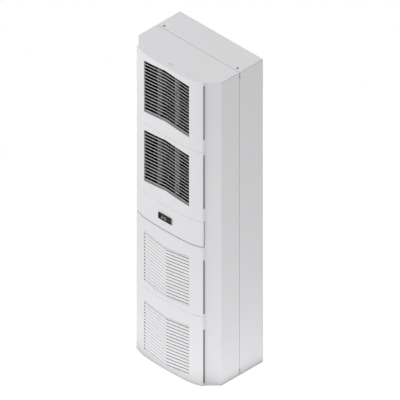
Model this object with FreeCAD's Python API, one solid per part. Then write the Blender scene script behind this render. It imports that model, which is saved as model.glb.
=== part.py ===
"""Wall-mounted enclosure air conditioner, in millimetres.

The unit stands upright, +Z up, with its front towards -Y and its rear seal towards +Y.
The origin is at the centre of its footprint, on the plane it stands on.
A steel chassis at the rear carries the refrigeration parts and bolts to the enclosure.
A steel hood closes the front half, and five plastic covers snap onto the hood.
Behind the lower two covers the ambient air comes in, and it leaves through the upper two.
"""

import FreeCAD
import Part
import math
import os

# Overall size
WIDTH = 500.0
HEIGHT = 1580.0
DEPTH = 340.0            # rear seal face to the crown of the front covers
CHASSIS_DEPTH = 142.0    # rear seal face to the seam between chassis and hood
HOOD_CHAMFER = 50.0      # front corners of the hood, as wide as they are deep
COVER_DEPTH = 37.0       # front of the hood to the crown of the covers
DISPLAY_PROUD = 6.0      # controller keys in front of the crown

# Sheet metal
SHEET = 1.5
BEND = 0.5               # inside radius of a fold
SEAM_GAP = 1.9           # between chassis and hood, all round
DIMPLE_RADIUS = 4.5      # spacer dimples on the chassis flange, which the hood flange rests on
DIMPLE_COUNT = 3         # on each side
JOINT_GAP = 1.5          # between a cap and the edge of a side
CAP_RIM = 20.0           # turned rim of the top and base caps
FRONT_FLANGE = 40.0      # hood flange behind the covers
HOOD_FLANGE = 15.0       # hood flange at the seam
CHASSIS_FLANGE = 35.0    # chassis flange at the seam, which also carries the partition
REAR_FLANGE = 12.0       # chassis flange on the rear plate
NOTCH_WIDTH = 3.5        # bend relief at both ends of the chassis seam
NOTCH_HEIGHT = 26.0
NOTCH_DEPTH = 5.0

# Rear plate, seal and fixings
SEAL_THICK = 3.0
SEAL_WIDTH = 18.0
BOLT_INSET = 22.0        # mounting bolts from the side edges
BOLT_END = 60.0          # outer mounting bolts from the top and base
BOLT_HOLE = 3.3          # radius, for M6
NUT_BORE = 3.0
NUT_FLATS = 10.0
NUT_HEIGHT = 6.0
SEAL_TO_BOLT = 10.0      # edge of the seal from the bolt line
LIFT_INSET = 29.0        # lifting eye holes from the side edges
LIFT_BEHIND_SEAM = 15.0
LIFT_HOLE = 4.5          # radius, for M8
LIFT_BORE = 4.0
LIFT_FLATS = 16.0
LIFT_HEIGHT = 9.0
INLET_FROM_TOP = 280.0   # centre of the warm air inlet
OUTLET_WIDTH = 300.0     # cold air outlet
OUTLET_HEIGHT = 130.0
OUTLET_ABOVE_TRAY = 85.0
OUTLET_ROUND = 8.0
TERMINAL_INSET = 100.0   # plug-in mains terminal, from the right side
TERMINAL_BELOW = 70.0    # foot of the terminal, from the foot of the evaporator
TERMINAL_WIDTH = 72.0
TERMINAL_HEIGHT = 26.0
TERMINAL_DEPTH = 34.0
TERMINAL_SOCKET = 20.0
TERMINAL_WALL = 3.0
TERMINAL_COLLAR = 4.0
TERMINAL_FIT = 0.5

# Front covers
DISPLAY_HEIGHT = 134.0   # height of the middle cover, which holds the controller
COVER_GAP = 1.2          # between one cover and the next
DISPLAY_SILL = 4.6       # extra gap under the middle cover
COVER_SKIN = 3.0
EDGE_WALL = 12.0         # side wall of a cover, from the hood to its front edge
SHOULDER_RISE = 19.0     # front edge to the shoulder line
SHOULDER_INSET = 64.0    # side of a cover to the shoulder line
SHOULDER_BULGE = 2.0
CORNER_ROUND = 3.0
EDGE_ROUND = 1.5
SIDE_SLOT_SHORT = 13.0   # slot along each side, from the end with the narrow margin
SIDE_SLOT_LONG = 67.0    # and from the other end
DISPLAY_SIDE_GAP = 4.5
PEG_RADIUS = 4.0         # snap pegs in holes of the hood flange
PEG_HOLE_FIT = 0.4
PEG_INSET = 20.0
PEG_END = 28.0
PEG_REACH = 10.0
COVER_TO_HOOD = 0.3
PRY_RADIUS = 10.0        # half-round groove that marks the prying place at one end of a cover
PRY_GROOVE = 2.0
PRY_DEPTH = 2.5

# Slatted field of a cover: a chevron with its slats parallel to it
FIELD_MARGIN = 35.0      # narrow margin below the field
FIELD_HEIGHT = 256.0
FIELD_DROP = 17.0        # how far the centre line lies below the sides
SLOT_COUNT = 15
SLAT_DEPTH = 5.5
SLAT_RECESS = 0.5        # slat noses behind the front of the skin
SLAT_START = 2.5         # row of slats above the base of the field
SILL_NOSE = 0.8
INTAKE_SLAT = 2.2        # thickness of a slat over an intake
INTAKE_TILT = 49.0
INTAKE_RIB = 6.0         # depth of the upright ribs behind the slats
OUTLET_SLAT = 1.5        # and the same over an outlet
OUTLET_TILT = 45.0
OUTLET_RIB = 29.0
GRILLE_FIT = 0.3         # slatted insert inside the edges of the field
GRILLE_LAP = 4.0         # rim of the insert past the field, behind the skin
RIM_SETBACK = 1.0        # rim behind the inside of the skin, which curves back at the shoulders
RIM_DEPTH = 6.5
RIM_THICK = 2.5          # rim above and below the field
RIM_SIDE = 6.0           # rim at its sides, where the slats end
RIB_X = 52.0
RIB_THICK = 2.5
RIB_BITE = 0.8           # how far the ribs reach into the backs of the slats
FILTER_THICK = 10.0
FILTER_OVERLAP = 9.0     # filter mat past the field on every side
FILTER_FIT = 0.3

# Cross rails behind the joints between the covers
RAIL_HEIGHT = 40.0
RAIL_LIP = 14.0
RAIL_OVERLAP = 12.0      # rail behind the hood flange

# Axial condenser fans
FAN_RADIUS = 122.0
FAN_TIP_GAP = 3.0
FAN_BLADES = 5
FAN_HUB = 45.0
FAN_HUB_DEPTH = 36.0
HUB_WALL = 3.0
FAN_SETBACK = 8.0        # hub face behind the shroud plate
BLADE_THICK = 2.5
BLADE_ROOT = 62.0        # chord at the hub
BLADE_TIP = 100.0        # chord at the tip
BLADE_ROOT_PITCH = 34.0
BLADE_TIP_PITCH = 21.0
BLADE_CAMBER = 5.0
SHROUD_THICK = 3.0
SHROUD_DEPTH = 58.0
SHROUD_EDGE_GAP = 0.5
ARM_WIDTH = 12.0
ARM_THICK = 4.0
ARM_COUNT = 4
SHAFT_RADIUS = 4.0
SHAFT_FIT = 0.05
SHAFT_LENGTH = 26.0
HUB_BOSS = 10.0
MOTOR_RADIUS = 38.0
MOTOR_LENGTH = 40.0
MOTOR_NOSE = 14.0
MOTOR_NOSE_LENGTH = 8.0
ROTOR_GAP = 3.0          # motor nose to the hub boss

# Radial evaporator fan
WHEEL_RADIUS = 95.0
WHEEL_WIDTH = 48.0
WHEEL_EYE = 62.0
WHEEL_BLADES = 7
WHEEL_SWEEP = 35.0       # how far a blade leans back, in degrees round the wheel
WHEEL_DISC = 2.5
WHEEL_BLADE_THICK = 2.5
WHEEL_TO_RING = 4.0
RING_THROAT = 58.0
RING_MOUTH = 80.0
RING_LENGTH = 18.0
RING_THICK = 2.0
RING_FLANGE = 14.0

# Partition, shelf and tray
PARTITION_INSET = 17.0   # partition edge from the side of the unit
PARTITION_END = 24.0
SHELF_Z = 24.0
SHELF_CLEAR = 18.0
SHELF_FLANGE = 34.0
TRAY_BELOW_JOINT = 16.5  # tray under the joint between the two intake covers
TRAY_HEIGHT = 28.0
TRAY_INSET = 35.0
TRAY_BACK_GAP = 8.0
SPOUT_INSET = 90.0
SPOUT_BACK = 20.0        # behind the middle of the chassis
SPOUT_RADIUS = 8.0
SPOUT_BORE = 6.0
SPOUT_FIT = 1.0
SPOUT_LIFT = 1.0

# Compressor
COMPRESSOR_INSET = 140.0 # axis from the left side
COMPRESSOR_HEIGHT = 262.0
COMPRESSOR_DOME = 26.0
FOOT_CLEAR = 10.0        # foot plate inside the depth of the hood
SHELL_CLEAR = 6.0        # shell inside the foot plate
FOOT_THICK = 4.0
MOUNT_RADIUS = 12.0
MOUNT_HEIGHT = 18.0
MOUNT_INSET = 14.0
STUB_RADIUS = 9.0
STUB_LENGTH = 12.0

# Condenser: flat tubes between two headers
CONDENSER_ABOVE_JOINT = 18.5
CONDENSER_MARGIN = 31.5  # less than the height of a cover
CONDENSER_BEHIND_HOOD = 58.0
CONDENSER_INSET = 60.0
HEADER_RADIUS = 11.0
HEADER_OUT = 13.0        # header axis beyond the core
FLAT_TUBES = 9
FLAT_TUBE_DEPTH = 18.0
FLAT_TUBE_THICK = 3.0
FIN_STRIP_TEETH = 10
FIN_STRIP_THICK = 1.0
FRAME_GAP = 3.0
FRAME_FLANGE = 20.0      # part of a frame that lies along the partition

# Evaporator: round tubes pressed into plate fins
EVAPORATOR_FROM_TOP = 820.0
EVAPORATOR_INSET = 55.0
EVAPORATOR_DEPTH = 92.0
EVAPORATOR_FROM_PARTITION = 20.0
EVAPORATOR_TUBES = 4
EVAPORATOR_PITCH = 60.0
EVAPORATOR_FINS = 26
FIN_THICK = 1.0
TUBE_RADIUS = 5.0
TUBE_STUB = 8.0

# Pipes
DISCHARGE_RADIUS = 5.0
LIQUID_RADIUS = 4.0
SUCTION_RADIUS = 6.0
PIPE_BEND = 15.0
BEND_SHARE = 0.8         # most of a short run that a bend may take
SHORT_BEND = 8.0
PIPE_HOLE_FIT = 1.5
DRIER_RADIUS = 18.0
DRIER_LENGTH = 120.0
DRIER_DROP = 55.0        # header foot to the top of the drier
DRIER_NECK = 8.0
DRIER_CLEAR = 10.0       # suction pipe behind the drier
VALVE_SIZE = 20.0
VALVE_HEIGHT = 34.0
VALVE_HEAD = 14.0
LIQUID_INSET = 50.0      # liquid pipe from the left side
LIQUID_AHEAD = 24.5      # and in front of the partition
LIQUID_LOW = 140.0
LIQUID_BELOW = 25.0      # from the foot of the evaporator
SUCTION_INSET = 28.0
SUCTION_BEHIND_SEAM = 31.0
SUCTION_LOW = 240.0

# Electrics
BOX_INSET = 60.0
BOX_RIGHT = 20.0
BOX_DEPTH = 88.0
BOX_MARGIN = 12.0        # box inside the height of the middle cover
BOARD_THICK = 1.6
BOARD_STANDOFF = 6.0
POST_RADIUS = 4.0
POST_INSET = 12.0
TRANSFORMER_X = 12.0     # from the left edge of the board
TRANSFORMER_WIDTH = 52.0
TRANSFORMER_HEIGHT = 37.0
TRANSFORMER_DEPTH = 37.0
RELAY_X = 84.0
RELAY_PITCH = 32.0
RELAY_COUNT = 2
RELAY_WIDTH = 22.0
RELAY_HEIGHT = 25.0
RELAY_DEPTH = 18.5
CAPACITOR_X = 100.0
CAPACITOR_RADIUS = 22.0
CAPACITOR_HEIGHT = 100.0
SWITCH_X = 40.0          # pressure switch on the discharge pipe
SWITCH_RADIUS = 12.0
SWITCH_HEIGHT = 16.0

# Controller in the middle cover
BEZEL_WIDTH = 78.0
BEZEL_HEIGHT = 30.0
BEZEL_RIM = 0.6
BODY_WIDTH = 70.0
BODY_HEIGHT = 24.0
BODY_DEPTH = 46.0
BODY_FIT = 1.0
LENS_THICK = 2.0
LENS_RECESS = 0.2
KEY_PROUD = 0.4
KEY_WIDTH = 5.5
KEY_HEIGHT = 9.0
KEY_PITCH = 8.0
KEY_FIT = 0.15
KEY_LENGTH = 2.6
KEY_TRAVEL = 0.5
FIRST_KEY_X = 15.0
CONTROLLER_RISE = 70.0   # centre of the controller above the foot of the middle cover

# Places that follow from the sizes
SIDE = WIDTH / 2
Y_BACK = (DEPTH + DISPLAY_PROUD) / 2
Y_CROWN = Y_BACK - DEPTH
Y_FRONT = Y_CROWN - DISPLAY_PROUD
Y_PLATE = Y_BACK - SEAL_THICK
Y_PLATE_IN = Y_PLATE - SHEET
Y_SEAM = Y_BACK - CHASSIS_DEPTH
Y_HOOD_REAR = Y_SEAM - SEAM_GAP
Y_HOOD = Y_CROWN + COVER_DEPTH
Y_FLANGE_IN = Y_HOOD + SHEET
Y_PARTITION = Y_SEAM - SHEET
COVER_HALF = SIDE - HOOD_CHAMFER
SHOULDER_X = COVER_HALF - SHOULDER_INSET
Y_EDGE = Y_HOOD - EDGE_WALL
Y_SHOULDER = Y_EDGE - SHOULDER_RISE
CROWN_RISE = Y_SHOULDER - Y_CROWN
Y_NOSE = Y_SHOULDER + SLAT_RECESS
Y_TAIL = Y_NOSE + SLAT_DEPTH
Y_RIB = Y_TAIL - CROWN_RISE * (1 - RIB_X / SHOULDER_X) - RIB_BITE
Y_RIM = Y_SHOULDER + COVER_SKIN + RIM_SETBACK
Y_RIM_BACK = Y_RIM + RIM_DEPTH
COVER_HEIGHT = (HEIGHT - DISPLAY_HEIGHT) / 4
DISPLAY_Z = 2 * COVER_HEIGHT
COVER_LEVELS = {
    "intake_lower": 0.0,
    "intake_upper": COVER_HEIGHT,
    "outlet_lower": DISPLAY_Z + DISPLAY_HEIGHT,
    "outlet_top": DISPLAY_Z + DISPLAY_HEIGHT + COVER_HEIGHT,
}
JOINT_LEVELS = [COVER_HEIGHT, DISPLAY_Z, DISPLAY_Z + DISPLAY_HEIGHT, HEIGHT - COVER_HEIGHT]
HOOD_OUTLINE = [
    (-SIDE, Y_HOOD_REAR),
    (-SIDE, Y_HOOD + HOOD_CHAMFER),
    (-COVER_HALF, Y_HOOD),
    (COVER_HALF, Y_HOOD),
    (SIDE, Y_HOOD + HOOD_CHAMFER),
    (SIDE, Y_HOOD_REAR),
]
CHASSIS_OUTLINE = [(-SIDE, Y_PLATE_IN), (-SIDE, Y_SEAM), (SIDE, Y_SEAM), (SIDE, Y_PLATE_IN)]
CONTROLLER_Z = DISPLAY_Z + CONTROLLER_RISE
INLET_Z = HEIGHT - INLET_FROM_TOP
EVAPORATOR_Z = HEIGHT - EVAPORATOR_FROM_TOP
EVAPORATOR_HALF = SIDE - EVAPORATOR_INSET
TRAY_Z = COVER_HEIGHT - TRAY_BELOW_JOINT
TRAY_HALF = SIDE - TRAY_INSET
OUTLET_Z = TRAY_Z + OUTLET_ABOVE_TRAY
TERMINAL_X = SIDE - TERMINAL_INSET
TERMINAL_Z = EVAPORATOR_Z - TERMINAL_BELOW
SPOUT_X = SIDE - SPOUT_INSET
SPOUT_Y = (Y_SEAM + Y_PLATE_IN) / 2 + SPOUT_BACK
COMPRESSOR_X = COMPRESSOR_INSET - SIDE
COMPRESSOR_Y = (Y_HOOD + Y_PARTITION) / 2
FOOT_SIZE = Y_PARTITION - Y_HOOD - 2 * FOOT_CLEAR
COMPRESSOR_RADIUS = FOOT_SIZE / 2 - SHELL_CLEAR
CONDENSER_Z = COVER_HEIGHT + CONDENSER_ABOVE_JOINT
CONDENSER_HEIGHT = COVER_HEIGHT - CONDENSER_MARGIN
CONDENSER_Y = Y_HOOD + CONDENSER_BEHIND_HOOD
CONDENSER_HALF = SIDE - CONDENSER_INSET
LIQUID_X = LIQUID_INSET - SIDE
LIQUID_Y = Y_PARTITION - LIQUID_AHEAD
LIQUID_HIGH = EVAPORATOR_Z - LIQUID_BELOW
SUCTION_X = SUCTION_INSET - SIDE
SUCTION_Y = Y_SEAM + SUCTION_BEHIND_SEAM
BOX_LEFT = BOX_INSET - SIDE
CAPACITOR_Y = COMPRESSOR_Y
PAST = 1.0               # how far a cutting tool runs past a face
NEAR = 0.01              # places closer than this count as one


def vec(x, y, z=0.0):
    return FreeCAD.Vector(x, y, z)


def box(x0, x1, y0, y1, z0, z1):
    return Part.makeBox(x1 - x0, y1 - y0, z1 - z0, vec(x0, y0, z0))


def rod(radius, start, end):
    return Part.makeCylinder(radius, (end - start).Length, start, end - start)


def tube(radius, bore, start, end):
    reach = (end - start).normalize() * PAST
    return rod(radius, start, end).cut(rod(bore, start - reach, end + reach))


def line(start, end):
    return Part.LineSegment(start, end).toShape()


def mirrored(shape):
    return shape.mirror(vec(0, 0), vec(1, 0))


def moved(shape, x=0.0, y=0.0, z=0.0):
    copy = shape.copy()
    copy.translate(vec(x, y, z))
    return copy


def fused(shapes):
    return shapes[0].fuse(shapes[1:]) if len(shapes) > 1 else shapes[0]


def rounded_edges(points, radii):
    """Straight runs through the points, joined at the inner ones by tangent arcs."""
    edges = []
    start = points[0]
    for before, corner, after, radius in zip(points, points[1:], points[2:], radii):
        back = (before - corner).normalize()
        ahead = (after - corner).normalize()
        half = back.getAngle(ahead) / 2
        bisector = (back + ahead).normalize()
        arc_in = corner + back * (radius / math.tan(half))
        arc_mid = corner + bisector * (radius / math.sin(half) - radius)
        arc_out = corner + ahead * (radius / math.tan(half))
        edges.append(line(start, arc_in))
        edges.append(Part.Arc(arc_in, arc_mid, arc_out).toShape())
        start = arc_out
    edges.append(line(start, points[-1]))
    return edges


def loop_face(outline, radius, z):
    """A flat face inside a closed outline with rounded corners."""
    points = [vec(x, y, z) for x, y in outline]
    middle = (points[0] + points[-1]) * 0.5
    return Part.Face(Part.Wire(rounded_edges([middle, *points, middle], [radius] * len(points))))


def polygon_face(points):
    return Part.Face(Part.makePolygon([*points, points[0]]))


def shifted_line(points, distance, closed=False):
    """A line of (x, y) points moved to its own left by the distance, with mitred corners."""
    last = len(points) - 1
    runs = []
    for i in range(len(points) if closed else last):
        ahead = points[(i + 1) % len(points)]
        length = math.hypot(ahead[0] - points[i][0], ahead[1] - points[i][1])
        runs.append(((points[i][1] - ahead[1]) / length, (ahead[0] - points[i][0]) / length))
    shifted = []
    for i, (x, y) in enumerate(points):
        before = runs[i - 1] if closed or i > 0 else runs[0]
        after = runs[i] if closed or i < last else runs[-1]
        scale = distance / (1 + before[0] * after[0] + before[1] * after[1])
        shifted.append((x + scale * (before[0] + after[0]), y + scale * (before[1] + after[1])))
    return shifted


def folded_sheet(points, bottom, top):
    """A folded sheet standing on edge. The points follow its outer face, with the metal on their left."""
    outer = [vec(x, y, bottom) for x, y in points]
    inner = [vec(x, y, bottom) for x, y in shifted_line(points, SHEET)]
    left_turns = []
    for before, corner, after in zip(outer, outer[1:], outer[2:]):
        left_turns.append((corner - before).cross(after - corner).z > 0)
    outer_radii = [BEND + SHEET if left else BEND for left in left_turns]
    inner_radii = [BEND if left else BEND + SHEET for left in left_turns]
    edges = rounded_edges(outer, outer_radii)
    edges.append(line(outer[-1], inner[-1]))
    edges += rounded_edges(inner[::-1], inner_radii[::-1])
    edges.append(line(inner[0], outer[0]))
    return Part.Face(Part.Wire(edges)).extrude(vec(0, 0, top - bottom))


def cap(outline, plate_z, rim_z):
    """A flat cap with a turned rim that fits inside the folded sides."""
    plate = loop_face(outline, BEND + SHEET, plate_z).extrude(vec(0, 0, SHEET))
    rim_outline = shifted_line(outline, SHEET, closed=True)
    rim = loop_face(rim_outline, BEND, rim_z).extrude(vec(0, 0, CAP_RIM))
    inside_outline = shifted_line(outline, 2 * SHEET, closed=True)
    inside = loop_face(inside_outline, BEND, rim_z).extrude(vec(0, 0, CAP_RIM))
    return plate.fuse(rim.cut(inside))


SIDE_BOTTOM = SHEET + JOINT_GAP
SIDE_TOP = HEIGHT - SHEET - JOINT_GAP
BASE_CAP = (0.0, SHEET)
TOP_CAP = (HEIGHT - SHEET, HEIGHT - SHEET - CAP_RIM)
BOLT_X = SIDE - BOLT_INSET
BOLT_LEVELS = [BOLT_END, HEIGHT / 2, HEIGHT - BOLT_END]
LIFT_X = SIDE - LIFT_INSET
LIFT_Y = Y_SEAM + LIFT_BEHIND_SEAM


def hex_nut(flats, bore, height, base, axis):
    """A hexagonal weld nut standing on its base point, with a plain bore."""
    corner = flats / math.sqrt(3)
    turn = FreeCAD.Rotation(vec(0, 0, 1), axis)
    corners = []
    for i in range(6):
        angle = math.radians(60 * i)
        corners.append(base + turn.multVec(vec(corner * math.cos(angle), corner * math.sin(angle))))
    body = polygon_face(corners).extrude(axis * height)
    return body.cut(rod(bore, base - axis * PAST, base + axis * (height + PAST)))


def chassis_side():
    """Right side of the chassis: a folded channel with a bend relief at each end of the seam.
    Low dimples on its seam flange carry the hood and keep the seam open."""
    path = [
        (SIDE - CHASSIS_FLANGE, Y_SEAM),
        (SIDE, Y_SEAM),
        (SIDE, Y_PLATE_IN),
        (SIDE - REAR_FLANGE, Y_PLATE_IN),
    ]
    side = folded_sheet(path, SIDE_BOTTOM, SIDE_TOP)
    for z in (SIDE_BOTTOM - PAST, SIDE_TOP - NOTCH_HEIGHT):
        relief = box(SIDE - NOTCH_DEPTH, SIDE + PAST, Y_SEAM - PAST, Y_SEAM + NOTCH_WIDTH,
                     z, z + NOTCH_HEIGHT + PAST)
        side = side.cut(relief)
    x = SIDE - HOOD_FLANGE / 2 - BEND
    for i in range(DIMPLE_COUNT):
        z = HEIGHT * (i + 0.5) / DIMPLE_COUNT
        side = side.fuse(rod(DIMPLE_RADIUS, vec(x, Y_SEAM + SHEET / 2, z), vec(x, Y_HOOD_REAR, z)))
    return side


def chassis_side_left():
    """Left side of the chassis, with a hole for the suction pipe through its seam flange."""
    start = vec(SUCTION_X, Y_SEAM - PAST, SUCTION_LOW)
    end = vec(SUCTION_X, Y_SEAM + SHEET + PAST, SUCTION_LOW)
    return mirrored(chassis_side()).cut(rod(SUCTION_RADIUS + PIPE_HOLE_FIT, start, end))


def chassis_top():
    top = cap(CHASSIS_OUTLINE, *TOP_CAP)
    for x in (-LIFT_X, LIFT_X):
        top = top.cut(rod(LIFT_HOLE, vec(x, LIFT_Y, HEIGHT - SHEET - PAST), vec(x, LIFT_Y, HEIGHT + PAST)))
    return top


def chassis_base():
    base = cap(CHASSIS_OUTLINE, *BASE_CAP)
    start, end = vec(SPOUT_X, SPOUT_Y, -PAST), vec(SPOUT_X, SPOUT_Y, SHEET + PAST)
    return base.cut(rod(SPOUT_RADIUS + SPOUT_FIT, start, end))


def rear_plate():
    """Back of the chassis: warm air inlet, cold air outlet, terminal window and bolt holes."""
    plate = box(-SIDE, SIDE, Y_PLATE_IN, Y_PLATE, 0, HEIGHT)
    through = (Y_PLATE_IN - PAST, Y_PLATE + PAST)
    plate = plate.cut(rod(RING_MOUTH, vec(0, through[0], INLET_Z), vec(0, through[1], INLET_Z)))
    outlet = box(-OUTLET_WIDTH / 2, OUTLET_WIDTH / 2, *through, OUTLET_Z, OUTLET_Z + OUTLET_HEIGHT)
    corners = [e for e in outlet.Edges if abs(e.tangentAt(e.FirstParameter).y) > 0.5]
    plate = plate.cut(outlet.makeFillet(OUTLET_ROUND, corners))
    window = box(TERMINAL_X - TERMINAL_WIDTH / 2, TERMINAL_X + TERMINAL_WIDTH / 2, *through,
                 TERMINAL_Z, TERMINAL_Z + TERMINAL_HEIGHT)
    plate = plate.cut(window)
    for z in BOLT_LEVELS:
        for x in (-BOLT_X, BOLT_X):
            plate = plate.cut(rod(BOLT_HOLE, vec(x, through[0], z), vec(x, through[1], z)))
    return plate


def rear_seal():
    """Foam strip round the back, inside the line of the mounting bolts."""
    outer = BOLT_X - SEAL_TO_BOLT
    end = SIDE - outer
    inner = outer - SEAL_WIDTH
    ring = box(-outer, outer, Y_PLATE, Y_BACK, end, HEIGHT - end)
    hole = box(-inner, inner, Y_PLATE - PAST, Y_BACK + PAST, end + SEAL_WIDTH, HEIGHT - end - SEAL_WIDTH)
    return ring.cut(hole)


def weld_nuts():
    """Nuts behind the mounting holes and under the lifting eye holes."""
    nuts = []
    for x in (-BOLT_X, BOLT_X):
        for z in BOLT_LEVELS:
            nuts.append(hex_nut(NUT_FLATS, NUT_BORE, NUT_HEIGHT, vec(x, Y_PLATE_IN, z), vec(0, -1, 0)))
    for x in (-LIFT_X, LIFT_X):
        seat = vec(x, LIFT_Y, HEIGHT - SHEET)
        nuts.append(hex_nut(LIFT_FLATS, LIFT_BORE, LIFT_HEIGHT, seat, vec(0, 0, -1)))
    return Part.makeCompound(nuts)


def peg_levels():
    """Heights of the snap pegs of all covers, two to each cover on each side."""
    levels = []
    for low, height in [*[(z, COVER_HEIGHT) for z in COVER_LEVELS.values()], (DISPLAY_Z, DISPLAY_HEIGHT)]:
        levels += [low + PEG_END, low + height - PEG_END]
    return levels


def hood_side():
    """Right side of the hood: seam flange, side, chamfer and front flange folded from one sheet."""
    path = [
        (COVER_HALF - FRONT_FLANGE, Y_HOOD),
        (COVER_HALF, Y_HOOD),
        (SIDE, Y_HOOD + HOOD_CHAMFER),
        (SIDE, Y_HOOD_REAR),
        (SIDE - HOOD_FLANGE, Y_HOOD_REAR),
    ]
    side = folded_sheet(path, SIDE_BOTTOM, SIDE_TOP)
    x = COVER_HALF - PEG_INSET
    holes = []
    for z in peg_levels():
        holes.append(rod(PEG_RADIUS + PEG_HOLE_FIT, vec(x, Y_HOOD - PAST, z), vec(x, Y_FLANGE_IN + PAST, z)))
    return side.cut(holes)


def panel_rails():
    """Lipped cross rails between the two hood sides, one behind each joint between covers."""
    half = COVER_HALF - FRONT_FLANGE + RAIL_OVERLAP
    rails = []
    for z in JOINT_LEVELS:
        low, high = z - RAIL_HEIGHT / 2, z + RAIL_HEIGHT / 2
        rail = box(-half, half, Y_FLANGE_IN, Y_FLANGE_IN + RAIL_LIP, low, high)
        hollow = box(-half - PAST, half + PAST, Y_FLANGE_IN + SHEET, Y_FLANGE_IN + RAIL_LIP + PAST,
                     low + SHEET, high - SHEET)
        rails.append(rail.cut(hollow))
    return Part.makeCompound(rails)


def cover_section(inset, back):
    """Plan of a cover: flat sides, rounded shoulders and a slightly bowed front, taken in by the inset."""
    side = COVER_HALF - inset
    edge, shoulder, crown = Y_EDGE + inset, Y_SHOULDER + inset, Y_CROWN + inset
    chord = vec(SHOULDER_X - side, shoulder - edge)
    outward = vec(-chord.y, chord.x).normalize()
    if outward.y > 0:
        outward = outward * -1
    bulge = vec((side + SHOULDER_X) / 2, (edge + shoulder) / 2) + outward * SHOULDER_BULGE
    points = [vec(-side, back), vec(-side, edge), vec(-bulge.x, bulge.y), vec(-SHOULDER_X, shoulder),
              vec(0, crown), vec(SHOULDER_X, shoulder), bulge, vec(side, edge), vec(side, back)]
    edges = [line(points[0], points[1])]
    for i in (1, 3, 5):
        edges.append(Part.Arc(points[i], points[i + 1], points[i + 2]).toShape())
    edges += [line(points[7], points[8]), line(points[8], points[0])]
    return Part.Face(Part.Wire(edges))


def cover_shell(low, high):
    """Bowed shell with end walls, open towards the hood."""
    back = Y_HOOD - COVER_TO_HOOD
    outer = moved(cover_section(0, back), z=low).extrude(vec(0, 0, high - low))
    corners = [e for e in outer.Edges if is_corner(e)]
    outer = outer.makeFillet(CORNER_ROUND, corners)
    rims = [e for e in outer.Edges if is_front_rim(e, low, high, back)]
    outer = outer.makeFillet(EDGE_ROUND, rims)
    cavity = moved(cover_section(COVER_SKIN, back + PAST), z=low + COVER_SKIN)
    return outer.cut(cavity.extrude(vec(0, 0, high - low - 2 * COVER_SKIN)))


def is_corner(edge):
    """True for the upright edge where the side of a cover meets its front."""
    point = edge.CenterOfMass
    upright = abs(edge.Vertexes[0].Z - edge.Vertexes[-1].Z) > PAST
    return upright and abs(abs(point.x) - COVER_HALF) < NEAR and abs(point.y - Y_EDGE) < NEAR


def is_front_rim(edge, low, high, back):
    """True for an edge round the top or base of a cover, apart from the one at the hood."""
    level = [v.Z for v in edge.Vertexes]
    flat = max(level) - min(level) < NEAR and min(abs(level[0] - low), abs(level[0] - high)) < NEAR
    return flat and min(v.Y for v in edge.Vertexes) < back - NEAR


def peg(x, z):
    return rod(PEG_RADIUS, vec(x, Y_EDGE - COVER_SKIN, z), vec(x, Y_HOOD + PEG_REACH, z))


def field_outline(y):
    """Chevron outline of the slatted field, seen from the front."""
    low, high = FIELD_MARGIN, FIELD_MARGIN + FIELD_HEIGHT
    return [vec(-SHOULDER_X, y, low), vec(0, y, low - FIELD_DROP), vec(SHOULDER_X, y, low),
            vec(SHOULDER_X, y, high), vec(0, y, high - FIELD_DROP), vec(-SHOULDER_X, y, high)]


def air_cover():
    """Cover moulding for the ambient air, as it sits over an intake, with its base at zero."""
    low, high = COVER_GAP / 2, COVER_HEIGHT - COVER_GAP / 2
    cover = cover_shell(low, high)
    opening = polygon_face(field_outline(Y_CROWN - PAST)).extrude(vec(0, COVER_DEPTH, 0))
    cover = cover.cut(opening)
    back = Y_HOOD + PAST
    slots = box(-SIDE, SIDE, Y_EDGE + COVER_SKIN, back, low + SIDE_SLOT_SHORT, high - SIDE_SLOT_LONG)
    middle = box(COVER_SKIN + PAST - COVER_HALF, COVER_HALF - COVER_SKIN - PAST, Y_EDGE, back, low, high)
    cover = cover.cut(slots.cut(middle))
    start, end = vec(0, Y_HOOD, low - PAST), vec(0, Y_HOOD, low + PRY_DEPTH)
    cover = cover.cut(tube(PRY_RADIUS, PRY_RADIUS - PRY_GROOVE, start, end))
    x = COVER_HALF - PEG_INSET
    pegs = [peg(side, z) for side in (-x, x) for z in (PEG_END, COVER_HEIGHT - PEG_END)]
    return fused([cover, *pegs])


def chevron_bar(half, section):
    """A bar along the chevron to that distance on both sides. Its (y, z) points lie at the side of the field."""
    share = half / SHOULDER_X
    end = [vec(-half, y + CROWN_RISE * (share - 1), z + FIELD_DROP * (share - 1)) for y, z in section]
    left = polygon_face(end).extrude(vec(half, -CROWN_RISE * share, -FIELD_DROP * share))
    return left.fuse(mirrored(left))


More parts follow.
